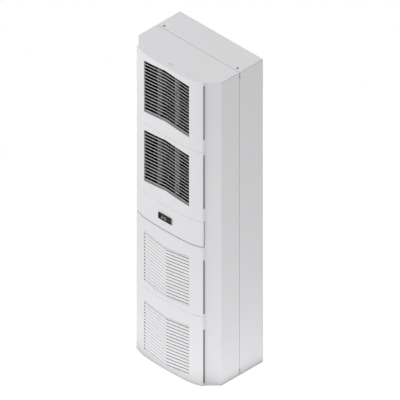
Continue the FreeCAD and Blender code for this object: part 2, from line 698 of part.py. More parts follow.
def air_grille(slat, tilt, rib, sill):
    """Slatted insert of an air cover: a rim behind the skin, tilted slats with their noses in the field,
    and two upright ribs. The highest slat just passes under the skin. If asked, a sill covers the base."""
    low, high = FIELD_MARGIN - GRILLE_LAP, FIELD_MARGIN + FIELD_HEIGHT + GRILLE_LAP
    outer, inner = SHOULDER_X + GRILLE_LAP, SHOULDER_X - GRILLE_FIT
    pieces = []
    for z in (low, high - RIM_THICK):
        pieces.append(chevron_bar(outer, [(Y_RIM, z), (Y_RIM_BACK, z), (Y_RIM_BACK, z + RIM_THICK),
                                          (Y_RIM, z + RIM_THICK)]))
    lift = FIELD_DROP * GRILLE_LAP / SHOULDER_X
    for x in (-outer, outer - RIM_SIDE):
        pieces.append(box(x, x + RIM_SIDE, Y_RIM, Y_RIM_BACK, low + lift, high + lift))
    slope = math.tan(math.radians(tilt))
    rise = SLAT_DEPTH * slope
    upright = slat / math.cos(math.radians(tilt))
    under_skin = upright + slope * (COVER_SKIN - SLAT_RECESS) + GRILLE_FIT
    base = FIELD_MARGIN + SLAT_START - under_skin
    for i in range(1, SLOT_COUNT + 1):
        z = base + i * (FIELD_HEIGHT - SLAT_START) / SLOT_COUNT
        pieces.append(chevron_bar(inner, [(Y_NOSE, z), (Y_TAIL, z + rise), (Y_TAIL, z + rise + upright),
                                          (Y_NOSE, z + upright)]))
    if sill:
        edge = FIELD_MARGIN + GRILLE_FIT
        back = Y_SHOULDER + COVER_SKIN + GRILLE_FIT
        pieces.append(chevron_bar(inner, [(Y_NOSE, edge), (back, edge), (back, low), (Y_TAIL, low),
                                          (Y_TAIL, base + rise + upright), (Y_NOSE, edge + SILL_NOSE)]))
    drop = FIELD_DROP * (1 - RIB_X / SHOULDER_X)
    for x in (-RIB_X, RIB_X):
        pieces.append(box(x - RIB_THICK / 2, x + RIB_THICK / 2, Y_RIB, Y_RIB + rib,
                          low - drop + RIM_THICK / 2, high - drop - RIM_THICK / 2))
    return fused(pieces)


def intake_filter():
    """Foam filter mat held behind the rim and ribs of an intake's insert."""
    rim_back = Y_RIM_BACK + CROWN_RISE * GRILLE_LAP / SHOULDER_X
    front = max(rim_back, Y_RIB + INTAKE_RIB) + FILTER_FIT
    return box(-SHOULDER_X - FILTER_OVERLAP, SHOULDER_X + FILTER_OVERLAP, front, front + FILTER_THICK,
               FIELD_MARGIN - FIELD_DROP, FIELD_MARGIN + FIELD_HEIGHT + FILTER_OVERLAP)


def placed(moulding, name):
    """A moulding at its cover's level. Over an outlet it is turned upside down."""
    shape = moulding.copy()
    if name.startswith("outlet"):
        shape.rotate(vec(0, 0, COVER_HEIGHT / 2), vec(0, 1, 0), 180)
    shape.translate(vec(0, 0, COVER_LEVELS[name]))
    return shape


def display_cover():
    """Short middle cover with a window for the controller and a shadow gap along its sides."""
    low = DISPLAY_Z + COVER_GAP / 2 + DISPLAY_SILL
    high = DISPLAY_Z + DISPLAY_HEIGHT - COVER_GAP / 2
    cover = cover_shell(low, high)
    gap = box(-SIDE, SIDE, Y_HOOD - DISPLAY_SIDE_GAP, Y_HOOD + PAST, low - PAST, high + PAST)
    cover = cover.cut(gap)
    half_width, half_height = BODY_WIDTH / 2 + BODY_FIT, BODY_HEIGHT / 2 + BODY_FIT
    window = box(-half_width, half_width, Y_CROWN - PAST, Y_HOOD, CONTROLLER_Z - half_height,
                 CONTROLLER_Z + half_height)
    cover = cover.cut(window)
    x = COVER_HALF - PEG_INSET
    levels = (DISPLAY_Z + PEG_END, DISPLAY_Z + DISPLAY_HEIGHT - PEG_END)
    pegs = [peg(side, z) for side in (-x, x) for z in levels]
    return fused([cover, *pegs])


KEY_NAMES = ("key_set", "key_down", "key_up")
Y_LENS = Y_FRONT + KEY_PROUD


def key_box(index, grow, front, back):
    """Space of one key, seen from the front, grown by a clearance."""
    x = FIRST_KEY_X + index * KEY_PITCH
    return box(x - KEY_WIDTH / 2 - grow, x + KEY_WIDTH / 2 + grow, front, back,
               CONTROLLER_Z - KEY_HEIGHT / 2 - grow, CONTROLLER_Z + KEY_HEIGHT / 2 + grow)


def controller_housing():
    """Bezel in front of the cover, with a pocket for the lens and the keys, and the body behind it."""
    bezel = box(-BEZEL_WIDTH / 2, BEZEL_WIDTH / 2, Y_LENS - LENS_RECESS, Y_CROWN,
                CONTROLLER_Z - BEZEL_HEIGHT / 2, CONTROLLER_Z + BEZEL_HEIGHT / 2)
    body = box(-BODY_WIDTH / 2, BODY_WIDTH / 2, Y_CROWN, Y_CROWN + BODY_DEPTH,
               CONTROLLER_Z - BODY_HEIGHT / 2, CONTROLLER_Z + BODY_HEIGHT / 2)
    housing = bezel.fuse(body).cut(lens_space(0, Y_LENS - LENS_RECESS - PAST))
    key_back = Y_FRONT + KEY_LENGTH + KEY_TRAVEL + KEY_FIT
    pockets = [key_box(i, KEY_FIT, Y_LENS, key_back) for i in range(len(KEY_NAMES))]
    return housing.cut(pockets)


def lens_space(shrink, front):
    half_width = BEZEL_WIDTH / 2 - BEZEL_RIM - shrink
    half_height = BEZEL_HEIGHT / 2 - BEZEL_RIM - shrink
    return box(-half_width, half_width, front, Y_LENS + LENS_THICK,
               CONTROLLER_Z - half_height, CONTROLLER_Z + half_height)


def display_lens():
    """Dark window over the whole face of the controller, with a hole for each key."""
    lens = lens_space(KEY_FIT, Y_LENS)
    holes = [key_box(i, KEY_FIT, Y_LENS - PAST, Y_LENS + LENS_THICK + PAST) for i in range(len(KEY_NAMES))]
    return lens.cut(holes)


def controller_key(index):
    return key_box(index, 0, Y_FRONT, Y_FRONT + KEY_LENGTH)


def fan_level(name):
    """Height of a condenser fan, in the middle of its cover's slatted field."""
    middle = FIELD_MARGIN + (FIELD_HEIGHT - FIELD_DROP) / 2
    return COVER_LEVELS[name] + COVER_HEIGHT - middle


Y_SHROUD = Y_FLANGE_IN
Y_HUB = Y_SHROUD + FAN_SETBACK
Y_ARMS = Y_SHROUD + SHROUD_DEPTH
Y_FAN_SEAT = Y_ARMS + ARM_THICK


def fan_shroud(name):
    """Plate with a round collar for a condenser fan, and arms behind that hold its motor."""
    low = COVER_LEVELS[name] + RAIL_HEIGHT / 2 + SHROUD_EDGE_GAP
    high = min(COVER_LEVELS[name] + COVER_HEIGHT - RAIL_HEIGHT / 2, TOP_CAP[1]) - SHROUD_EDGE_GAP
    half = COVER_HALF - FRONT_FLANGE + RAIL_OVERLAP
    z = fan_level(name)
    bore = FAN_RADIUS + FAN_TIP_GAP
    plate = box(-half, half, Y_SHROUD, Y_SHROUD + SHROUD_THICK, low, high)
    collar = rod(bore + SHROUD_THICK, vec(0, Y_SHROUD, z), vec(0, Y_FAN_SEAT, z))
    shroud = plate.fuse(collar).cut(rod(bore, vec(0, Y_SHROUD - PAST, z), vec(0, Y_FAN_SEAT + PAST, z)))
    arms = [rod(MOTOR_RADIUS, vec(0, Y_ARMS, z), vec(0, Y_FAN_SEAT, z))]
    for i in range(ARM_COUNT):
        arm = box(-ARM_WIDTH / 2, ARM_WIDTH / 2, Y_ARMS, Y_FAN_SEAT, z, z + bore + SHROUD_THICK / 2)
        arm.rotate(vec(0, 0, z), vec(0, 1, 0), 45 + i * 360 / ARM_COUNT)
        arms.append(arm)
    hole = rod(MOTOR_NOSE, vec(0, Y_ARMS - PAST, z), vec(0, Y_FAN_SEAT + PAST, z))
    return fused([shroud, *arms]).cut(hole)


def fan_motor(y_seat, z, facing):
    """Motor with its back plate away from the fan and a nose with the shaft bearing towards it.
    The seat is the face that the motor is fixed to, and facing is the way its nose points along Y."""
    seat = vec(0, y_seat, z)
    ahead = vec(0, facing, 0)
    body = rod(MOTOR_RADIUS, seat, seat - ahead * MOTOR_LENGTH)
    nose = rod(MOTOR_NOSE, seat, seat + ahead * MOTOR_NOSE_LENGTH)
    tip = seat + ahead * (MOTOR_NOSE_LENGTH + PAST)
    bore = rod(SHAFT_RADIUS + SHAFT_FIT, seat - ahead * SHAFT_LENGTH, tip)
    return body.fuse(nose).cut(bore)


def revolved(points, z):
    """Turns an outline of (radius, y) points about the fan axis at that height."""
    face = polygon_face([vec(radius, y, z) for radius, y in points])
    return face.revolve(vec(0, 0, z), vec(0, 1, 0), 360)


def blade_section(radius, chord, pitch, z):
    """Thin cambered section of a fan blade, across the radius at that distance from the axis."""
    angle = math.radians(pitch)
    middle = Y_HUB + FAN_HUB_DEPTH / 2

    def at(along, across):
        return vec(along * math.cos(angle) - across * math.sin(angle),
                   middle + along * math.sin(angle) + across * math.cos(angle), z + radius)

    half, thick = chord / 2, BLADE_THICK / 2
    lower = Part.Arc(at(-half, -thick), at(0, BLADE_CAMBER - thick), at(half, -thick)).toShape()
    upper = Part.Arc(at(half, thick), at(0, BLADE_CAMBER + thick), at(-half, thick)).toShape()
    nose = line(at(half, -thick), at(half, thick))
    tail = line(at(-half, thick), at(-half, -thick))
    return Part.Wire([lower, nose, upper, tail])


def condenser_fan(name):
    """Axial fan: cup-shaped hub with its shaft, and twisted blades trimmed to a circle."""
    z = fan_level(name)
    y_back = Y_HUB + FAN_HUB_DEPTH
    y_nose = Y_FAN_SEAT - MOTOR_NOSE_LENGTH
    y_shaft = Y_FAN_SEAT + SHAFT_LENGTH - PAST
    wall = HUB_WALL
    hub = revolved([(0, Y_HUB), (FAN_HUB, Y_HUB), (FAN_HUB, y_back), (FAN_HUB - wall, y_back),
                    (FAN_HUB - wall, Y_HUB + wall), (HUB_BOSS, Y_HUB + wall), (HUB_BOSS, y_nose - ROTOR_GAP),
                    (SHAFT_RADIUS, y_nose - ROTOR_GAP), (SHAFT_RADIUS, y_shaft), (0, y_shaft)], z)
    root = blade_section(FAN_HUB - wall, BLADE_ROOT, BLADE_ROOT_PITCH, z)
    tip = blade_section(FAN_RADIUS + wall, BLADE_TIP, BLADE_TIP_PITCH, z)
    blade = Part.makeLoft([root, tip], True, True)
    space = tube(FAN_RADIUS, FAN_HUB - wall / 2, vec(0, Y_HUB, z), vec(0, y_back, z))
    blade = blade.common(space)
    blades = []
    for i in range(FAN_BLADES):
        copy = blade.copy()
        copy.rotate(vec(0, 0, z), vec(0, 1, 0), i * 360 / FAN_BLADES)
        blades.append(copy)
    return fused([hub, *blades])


Y_RING_TIP = Y_PLATE_IN - RING_LENGTH
Y_WHEEL = Y_RING_TIP - WHEEL_TO_RING
Y_WHEEL_BACK = Y_WHEEL - WHEEL_WIDTH
Y_WHEEL_SEAT = Y_SEAM + MOTOR_LENGTH


def evaporator_fan_ring():
    """Bell-mouthed inlet ring, flanged to the inside of the rear plate."""
    rim = RING_MOUTH + RING_FLANGE
    y_inside = Y_PLATE_IN - RING_THICK
    outline = [(RING_MOUTH, Y_PLATE_IN), (rim, Y_PLATE_IN), (rim, y_inside),
               (RING_MOUTH + RING_THICK, y_inside), (RING_THROAT + RING_THICK, Y_RING_TIP),
               (RING_THROAT, Y_RING_TIP)]
    return revolved(outline, INLET_Z)


def evaporator_fan():
    """Radial wheel: back disc with its shaft, backward-curved blades and a front ring."""
    z = INLET_Z
    y_nose = Y_WHEEL_SEAT + MOTOR_NOSE_LENGTH
    y_shaft = Y_WHEEL_SEAT - SHAFT_LENGTH + PAST
    disc = revolved([(0, Y_WHEEL_BACK + WHEEL_DISC), (WHEEL_RADIUS, Y_WHEEL_BACK + WHEEL_DISC),
                     (WHEEL_RADIUS, Y_WHEEL_BACK), (HUB_BOSS, Y_WHEEL_BACK), (HUB_BOSS, y_nose + ROTOR_GAP),
                     (SHAFT_RADIUS, y_nose + ROTOR_GAP), (SHAFT_RADIUS, y_shaft), (0, y_shaft)], z)
    ring = tube(WHEEL_RADIUS, WHEEL_EYE, vec(0, Y_WHEEL - WHEEL_DISC, z), vec(0, Y_WHEEL, z))
    pieces = [disc, ring]
    outer = WHEEL_RADIUS - WHEEL_BLADE_THICK - PAST
    sweep = math.radians(WHEEL_SWEEP)
    inner = WHEEL_EYE + WHEEL_BLADE_THICK
    y_root = Y_WHEEL_BACK + WHEEL_DISC / 2
    start = vec(inner, y_root, z)
    middle = vec((inner + outer) / 2, y_root, z - outer * sweep / 4)
    end = vec(outer * math.cos(sweep), y_root, z - outer * math.sin(sweep))
    inside = Part.Arc(start, middle, end)
    circle = Part.Circle(start, middle, end)
    grow = 1 + WHEEL_BLADE_THICK / circle.Radius
    far = [circle.Center + (point - circle.Center) * grow for point in (start, middle, end)]
    outside = Part.Arc(far[2], far[1], far[0])
    wire = Part.Wire([inside.toShape(), line(end, far[2]), outside.toShape(), line(far[0], start)])
    for i in range(WHEEL_BLADES):
        blade = Part.Face(wire).extrude(vec(0, WHEEL_WIDTH - WHEEL_DISC, 0))
        blade.rotate(vec(0, 0, z), vec(0, 1, 0), i * 360 / WHEEL_BLADES)
        pieces.append(blade)
    return fused(pieces)


def air_partition():
    """Upright plate between the ambient air in front and the enclosure air behind."""
    half = SIDE - PARTITION_INSET
    plate = box(-half, half, Y_PARTITION, Y_SEAM, PARTITION_END, HEIGHT - PARTITION_END)
    for x, z, radius in ((LIQUID_X, LIQUID_HIGH, LIQUID_RADIUS), (SUCTION_X, SUCTION_LOW, SUCTION_RADIUS)):
        hole = rod(radius + PIPE_HOLE_FIT, vec(x, Y_PARTITION - PAST, z), vec(x, Y_SEAM + PAST, z))
        plate = plate.cut(hole)
    return plate


def compressor_shelf():
    """Shelf in front of the partition, with an upturned flange against it."""
    outline = shifted_line(HOOD_OUTLINE, SHELF_CLEAR, closed=True)
    outline[0] = (outline[0][0], Y_PARTITION)
    outline[-1] = (outline[-1][0], Y_PARTITION)
    shelf = loop_face(outline, BEND, SHELF_Z).extrude(vec(0, 0, SHEET))
    half = SIDE - SHELF_CLEAR - BEND
    return shelf.fuse(box(-half, half, Y_PARTITION - SHEET, Y_PARTITION, SHELF_Z, SHELF_Z + SHELF_FLANGE))


def condensate_tray():
    """Tray across the bottom of the enclosure-air chamber, fixed to the partition."""
    back = Y_PLATE_IN - TRAY_BACK_GAP
    tray = box(-TRAY_HALF, TRAY_HALF, Y_SEAM, back, TRAY_Z, TRAY_Z + TRAY_HEIGHT)
    hollow = box(-TRAY_HALF + SHEET, TRAY_HALF - SHEET, Y_SEAM + SHEET, back - SHEET,
                 TRAY_Z + SHEET, TRAY_Z + TRAY_HEIGHT + PAST)
    start, end = vec(SPOUT_X, SPOUT_Y, TRAY_Z - PAST), vec(SPOUT_X, SPOUT_Y, TRAY_Z + SHEET + PAST)
    return tray.cut(hollow).cut(rod(SPOUT_BORE, start, end))


def drain_spout():
    return tube(SPOUT_RADIUS, SPOUT_BORE, vec(SPOUT_X, SPOUT_Y, SPOUT_LIFT), vec(SPOUT_X, SPOUT_Y, TRAY_Z))


FOOT_Z = SHELF_Z + SHEET + MOUNT_HEIGHT
SHELL_Z = FOOT_Z + FOOT_THICK
SHELL_TOP = SHELL_Z + COMPRESSOR_HEIGHT
COMPRESSOR_AXIS = vec(COMPRESSOR_X, COMPRESSOR_Y)
DISCHARGE_X = COMPRESSOR_X + COMPRESSOR_RADIUS / 3
SUCTION_STUB_Y = CONDENSER_Y + DRIER_RADIUS + SUCTION_RADIUS + DRIER_CLEAR


def compressor_shell():
    """Hermetic compressor: drawn shell on a foot plate, with a suction and a discharge stub."""
    foot, head = COMPRESSOR_AXIS + vec(0, 0, SHELL_Z), COMPRESSOR_AXIS + vec(0, 0, SHELL_TOP)
    shell = rod(COMPRESSOR_RADIUS, foot, head)
    top = [e for e in shell.Edges if abs(e.CenterOfMass.z - SHELL_TOP) < NEAR]
    shell = shell.makeFillet(COMPRESSOR_DOME, top)
    plate = box(COMPRESSOR_X - FOOT_SIZE / 2, COMPRESSOR_X + FOOT_SIZE / 2, COMPRESSOR_Y - FOOT_SIZE / 2,
                COMPRESSOR_Y + FOOT_SIZE / 2, FOOT_Z, SHELL_Z)
    discharge = rod(STUB_RADIUS, vec(DISCHARGE_X, COMPRESSOR_Y, SHELL_TOP - STUB_LENGTH),
                    vec(DISCHARGE_X, COMPRESSOR_Y, SHELL_TOP + STUB_LENGTH))
    suction = rod(STUB_RADIUS, vec(COMPRESSOR_X, SUCTION_STUB_Y, SUCTION_LOW),
                  vec(COMPRESSOR_X - COMPRESSOR_RADIUS - STUB_LENGTH, SUCTION_STUB_Y, SUCTION_LOW))
    return fused([shell, plate, discharge, suction])


def compressor_mounts():
    """Rubber mounts between the shelf and the corners of the foot plate."""
    reach = FOOT_SIZE / 2 - MOUNT_INSET
    mounts = []
    for x in (-reach, reach):
        for y in (-reach, reach):
            seat = COMPRESSOR_AXIS + vec(x, y, SHELF_Z + SHEET)
            mounts.append(rod(MOUNT_RADIUS, seat, seat + vec(0, 0, MOUNT_HEIGHT)))
    return Part.makeCompound(mounts)


HEADER_X = CONDENSER_HALF + HEADER_OUT
FLAT_PITCH = CONDENSER_HEIGHT / FLAT_TUBES
CONDENSER_TOP = CONDENSER_Z + CONDENSER_HEIGHT


def condenser_headers():
    headers = []
    for x in (-HEADER_X, HEADER_X):
        foot, head = vec(x, CONDENSER_Y, CONDENSER_Z), vec(x, CONDENSER_Y, CONDENSER_TOP)
        headers.append(rod(HEADER_RADIUS, foot, head))
    return Part.makeCompound(headers)


def flat_tube_level(index):
    return CONDENSER_Z + (index + 0.5) * FLAT_PITCH


def condenser_tubes():
    """Flat tubes from header to header, with their ends shaped to the round headers."""
    headers = condenser_headers()
    tubes = []
    for i in range(FLAT_TUBES):
        z = flat_tube_level(i)
        blank = box(-HEADER_X, HEADER_X, CONDENSER_Y - FLAT_TUBE_DEPTH / 2, CONDENSER_Y + FLAT_TUBE_DEPTH / 2,
                    z - FLAT_TUBE_THICK / 2, z + FLAT_TUBE_THICK / 2)
        tubes.append(blank.cut(headers.Solids))
    return Part.makeCompound(tubes)


def condenser_fins():
    """Zigzag fin strips between the flat tubes."""
    step = CONDENSER_HALF / FIN_STRIP_TEETH
    strips = []
    for i in range(FLAT_TUBES - 1):
        low = flat_tube_level(i) + FLAT_TUBE_THICK / 2
        high = flat_tube_level(i + 1) - FLAT_TUBE_THICK / 2 - FIN_STRIP_THICK
        crest = []
        for k in range(2 * FIN_STRIP_TEETH + 1):
            z = high if k % 2 else low
            crest.append(vec(k * step - CONDENSER_HALF, CONDENSER_Y - FLAT_TUBE_DEPTH / 2, z))
        under = [point + vec(0, 0, FIN_STRIP_THICK) for point in reversed(crest)]
        strips.append(polygon_face(crest + under).extrude(vec(0, FLAT_TUBE_DEPTH, 0)))
    return Part.makeCompound(strips)


def condenser_frame():
    """Plates under and over the condenser, each on two arms from the partition."""
    half = HEADER_X + HEADER_RADIUS + FRAME_GAP
    front = CONDENSER_Y - HEADER_RADIUS - FRAME_GAP
    back = CONDENSER_Y + HEADER_RADIUS + FRAME_GAP
    plates = []
    for z in (CONDENSER_Z - SHEET, CONDENSER_TOP):
        plate = box(-half, half, front, Y_PARTITION, z, z + SHEET)
        air_gap = box(-CONDENSER_HALF, CONDENSER_HALF, back, Y_PARTITION - FRAME_FLANGE,
                      z - PAST, z + SHEET + PAST)
        plates.append(plate.cut(air_gap))
    for x, radius in ((HEADER_X, DISCHARGE_RADIUS), (-HEADER_X, LIQUID_RADIUS)):
        hole = rod(radius + PIPE_HOLE_FIT, vec(x, CONDENSER_Y, CONDENSER_Z - SHEET - PAST),
                   vec(x, CONDENSER_Y, CONDENSER_Z + PAST))
        plates[0] = plates[0].cut(hole)
    riser = rod(LIQUID_RADIUS + PIPE_HOLE_FIT, vec(LIQUID_X, LIQUID_Y, CONDENSER_Z - SHEET - PAST),
                vec(LIQUID_X, LIQUID_Y, CONDENSER_TOP + SHEET + PAST))
    return Part.makeCompound([plate.cut(riser) for plate in plates])


EVAPORATOR_TOP = EVAPORATOR_Z + EVAPORATOR_TUBES * EVAPORATOR_PITCH
Y_EVAPORATOR = Y_SEAM + EVAPORATOR_FROM_PARTITION
Y_TUBES = Y_EVAPORATOR + EVAPORATOR_DEPTH / 2
FRAME_X = EVAPORATOR_HALF + FRAME_GAP
STUB_X = FRAME_X + SHEET + TUBE_STUB


def evaporator_tube_level(index):
    return EVAPORATOR_Z + (index + 0.5) * EVAPORATOR_PITCH


def evaporator_fins():
    step = 2 * EVAPORATOR_HALF / (EVAPORATOR_FINS - 1)
    fins = []
    for i in range(EVAPORATOR_FINS):
        x = i * step - EVAPORATOR_HALF
        fins.append(box(x - FIN_THICK / 2, x + FIN_THICK / 2, Y_EVAPORATOR, Y_EVAPORATOR + EVAPORATOR_DEPTH,
                        EVAPORATOR_Z, EVAPORATOR_TOP))
    return Part.makeCompound(fins)


def evaporator_frame():
    """End plates that hold the tubes, each with a flange on the partition."""
    plates = []
    for x in (FRAME_X, -FRAME_X - SHEET):
        plate = box(x, x + SHEET, Y_SEAM, Y_EVAPORATOR + EVAPORATOR_DEPTH, EVAPORATOR_Z, EVAPORATOR_TOP)
        inward = x - FRAME_FLANGE if x > 0 else x + SHEET
        flange = box(inward, inward + FRAME_FLANGE, Y_SEAM, Y_SEAM + SHEET, EVAPORATOR_Z, EVAPORATOR_TOP)
        plate = plate.fuse(flange)
        for i in range(EVAPORATOR_TUBES):
            z = evaporator_tube_level(i)
            plate = plate.cut(rod(TUBE_RADIUS, vec(x - PAST, Y_TUBES, z), vec(x + SHEET + PAST, Y_TUBES, z)))
        plates.append(plate)
    return Part.makeCompound(plates)


def swept_pipe(points, radius, bends):
    """A round pipe along straight runs joined by tangent arcs."""
    path = Part.Wire(rounded_edges(points, bends))
    ahead = (points[1] - points[0]).normalize()
    ring = Part.Wire(Part.Circle(points[0], ahead, radius).toShape())
    return path.makePipeShell([ring], True, False)


def evaporator_tubes():
    """One tube wound to and fro through the fins, with round return bends."""
    turn = EVAPORATOR_PITCH / 2
    pieces = []
    for i in range(EVAPORATOR_TUBES):
        z = evaporator_tube_level(i)
        pieces.append(rod(TUBE_RADIUS, vec(-STUB_X, Y_TUBES, z), vec(STUB_X, Y_TUBES, z)))
        if i < EVAPORATOR_TUBES - 1:
            bend = Part.makeTorus(turn, TUBE_RADIUS, vec(0, 0), vec(0, 1, 0))
            bend = bend.common(box(0, EVAPORATOR_PITCH, -PAST - TUBE_RADIUS, PAST + TUBE_RADIUS,
                                   -EVAPORATOR_PITCH, EVAPORATOR_PITCH))
            if i % 2:
                bend = mirrored(bend)
            pieces.append(moved(bend, STUB_X * (-1 if i % 2 else 1), Y_TUBES, z + turn))
    return fused(pieces)


DRIER_TOP = CONDENSER_Z - DRIER_DROP
DRIER_FOOT = DRIER_TOP - DRIER_LENGTH
PIPE_Z = (SHELL_TOP + STUB_LENGTH + CONDENSER_Z) / 2
VALVE_X = -STUB_X - VALVE_SIZE / 2
VALVE_Z = evaporator_tube_level(0) - VALVE_HEIGHT / 2


def discharge_pipe():
    """Hot gas from the top of the compressor to the foot of the right header."""
    points = [vec(DISCHARGE_X, COMPRESSOR_Y, SHELL_TOP + STUB_LENGTH), vec(DISCHARGE_X, COMPRESSOR_Y, PIPE_Z),
              vec(HEADER_X, CONDENSER_Y, PIPE_Z), vec(HEADER_X, CONDENSER_Y, CONDENSER_Z)]
    bend = min(PIPE_BEND, BEND_SHARE * (CONDENSER_Z - PIPE_Z), BEND_SHARE * (PIPE_Z - SHELL_TOP - STUB_LENGTH))
    return swept_pipe(points, DISCHARGE_RADIUS, [bend, bend])


def filter_drier():
    """Drier with tapered necks, hanging in the liquid pipe under the left header."""
    x, y = -HEADER_X, CONDENSER_Y
    body = rod(DRIER_RADIUS, vec(x, y, DRIER_FOOT), vec(x, y, DRIER_TOP))
    upper = Part.makeCone(DRIER_RADIUS, DRIER_NECK, DRIER_NECK, vec(x, y, DRIER_TOP))
    lower = Part.makeCone(DRIER_RADIUS, DRIER_NECK, DRIER_NECK, vec(x, y, DRIER_FOOT), vec(0, 0, -1))
    return fused([body, upper, lower])


def liquid_pipe():
    """Liquid from the left header to the drier, and from the drier to the expansion valve."""
    x, y = -HEADER_X, CONDENSER_Y
    above = rod(LIQUID_RADIUS, vec(x, y, DRIER_TOP + DRIER_NECK), vec(x, y, CONDENSER_Z))
    points = [vec(x, y, DRIER_FOOT - DRIER_NECK), vec(x, y, LIQUID_LOW), vec(LIQUID_X, LIQUID_Y, LIQUID_LOW),
              vec(LIQUID_X, LIQUID_Y, LIQUID_HIGH), vec(LIQUID_X, Y_TUBES, LIQUID_HIGH),
              vec(VALVE_X, Y_TUBES, LIQUID_HIGH), vec(VALVE_X, Y_TUBES, VALVE_Z)]
    below = swept_pipe(points, LIQUID_RADIUS, [PIPE_BEND, PIPE_BEND, PIPE_BEND, SHORT_BEND, SHORT_BEND])
    return Part.makeCompound([above, below])


def expansion_valve():
    """Valve body on the lowest evaporator tube, with its round head on top."""
    half = VALVE_SIZE / 2
    top = vec(VALVE_X, Y_TUBES, VALVE_Z + VALVE_HEIGHT)
    body = box(VALVE_X - half, VALVE_X + half, Y_TUBES - half, Y_TUBES + half, VALVE_Z, top.z)
    return body.fuse(rod(VALVE_HEAD, top, top + vec(0, 0, VALVE_HEAD)))


def suction_pipe():
    """Cold gas from the highest evaporator tube back to the side of the compressor."""
    z = evaporator_tube_level(EVAPORATOR_TUBES - 1)
    stub = COMPRESSOR_X - COMPRESSOR_RADIUS - STUB_LENGTH
    points = [vec(-STUB_X, Y_TUBES, z), vec(SUCTION_X, Y_TUBES, z), vec(SUCTION_X, SUCTION_Y, z),
              vec(SUCTION_X, SUCTION_Y, SUCTION_LOW), vec(SUCTION_X, SUCTION_STUB_Y, SUCTION_LOW),
              vec(stub, SUCTION_STUB_Y, SUCTION_LOW)]
    return swept_pipe(points, SUCTION_RADIUS, [SHORT_BEND, SHORT_BEND, PIPE_BEND, PIPE_BEND])


def pressure_switch():
    """Switch standing on the horizontal run of the discharge pipe."""
    share = (SWITCH_X - DISCHARGE_X) / (HEADER_X - DISCHARGE_X)
    y = COMPRESSOR_Y + share * (CONDENSER_Y - COMPRESSOR_Y)
    seat = vec(SWITCH_X, y, PIPE_Z - DISCHARGE_RADIUS)
    return rod(SWITCH_RADIUS, seat, seat - vec(0, 0, SWITCH_HEIGHT))


def electronics_box():
    """Sheet box behind the middle cover, open to the front and fixed to the partition."""
    low, high = DISPLAY_Z + BOX_MARGIN, DISPLAY_Z + DISPLAY_HEIGHT - BOX_MARGIN
    front = Y_PARTITION - BOX_DEPTH
    outer = box(BOX_LEFT, BOX_RIGHT, front, Y_PARTITION, low, high)
    return outer.cut(box(BOX_LEFT + SHEET, BOX_RIGHT - SHEET, front - PAST, Y_PARTITION - SHEET,
                         low + SHEET, high - SHEET))


def control_board():
    """Circuit board on four posts, with a transformer and two relays on it."""
    low, high = DISPLAY_Z + 2 * BOX_MARGIN, DISPLAY_Z + DISPLAY_HEIGHT - 2 * BOX_MARGIN
    left, right = BOX_LEFT + BOX_MARGIN, BOX_RIGHT - BOX_MARGIN
    floor = Y_PARTITION - SHEET
    face = floor - BOARD_STANDOFF - BOARD_THICK
    pieces = [box(left, right, face, face + BOARD_THICK, low, high)]
    for x in (left + POST_INSET, right - POST_INSET):
        for z in (low + POST_INSET, high - POST_INSET):
            pieces.append(rod(POST_RADIUS, vec(x, face + BOARD_THICK, z), vec(x, floor, z)))
    middle = (low + high) / 2
    parts = [(TRANSFORMER_X, TRANSFORMER_WIDTH, TRANSFORMER_HEIGHT, TRANSFORMER_DEPTH)]
    parts += [(RELAY_X + i * RELAY_PITCH, RELAY_WIDTH, RELAY_HEIGHT, RELAY_DEPTH) for i in range(RELAY_COUNT)]
    for x, width, height, depth in parts:
        pieces.append(box(left + x, left + x + width, face - depth, face,
                          middle - height / 2, middle + height / 2))
    return fused(pieces)


def mains_terminal():
    """Header for a mains plug, flush in the window of the rear plate, with one socket."""
    half = TERMINAL_WIDTH / 2 - TERMINAL_FIT
    low, high = TERMINAL_Z + TERMINAL_FIT, TERMINAL_Z + TERMINAL_HEIGHT - TERMINAL_FIT
    body = box(TERMINAL_X - half, TERMINAL_X + half, Y_PLATE - TERMINAL_DEPTH, Y_PLATE, low, high)
    collar = box(TERMINAL_X - half - TERMINAL_COLLAR, TERMINAL_X + half + TERMINAL_COLLAR,
                 Y_PLATE_IN - SHEET, Y_PLATE_IN, low - TERMINAL_COLLAR, high + TERMINAL_COLLAR)
    socket = box(TERMINAL_X - half + TERMINAL_WALL, TERMINAL_X + half - TERMINAL_WALL,
                 Y_PLATE - TERMINAL_SOCKET, Y_PLATE + PAST, low + TERMINAL_WALL, high - TERMINAL_WALL)
    return body.fuse(collar).cut(socket)


def run_capacitor():
    foot = vec(CAPACITOR_X, CAPACITOR_Y, SHELF_Z + SHEET)
    return rod(CAPACITOR_RADIUS, foot, foot + vec(0, 0, CAPACITOR_HEIGHT))


COVER = air_cover()
INTAKE_GRILLE = air_grille(INTAKE_SLAT, INTAKE_TILT, INTAKE_RIB, sill=True)
OUTLET_GRILLE = air_grille(OUTLET_SLAT, OUTLET_TILT, OUTLET_RIB, sill=False)
FILTER = intake_filter()
FAN_TOP_Z = fan_level("outlet_top")
FAN_LOWER_Z = fan_level("outlet_lower")

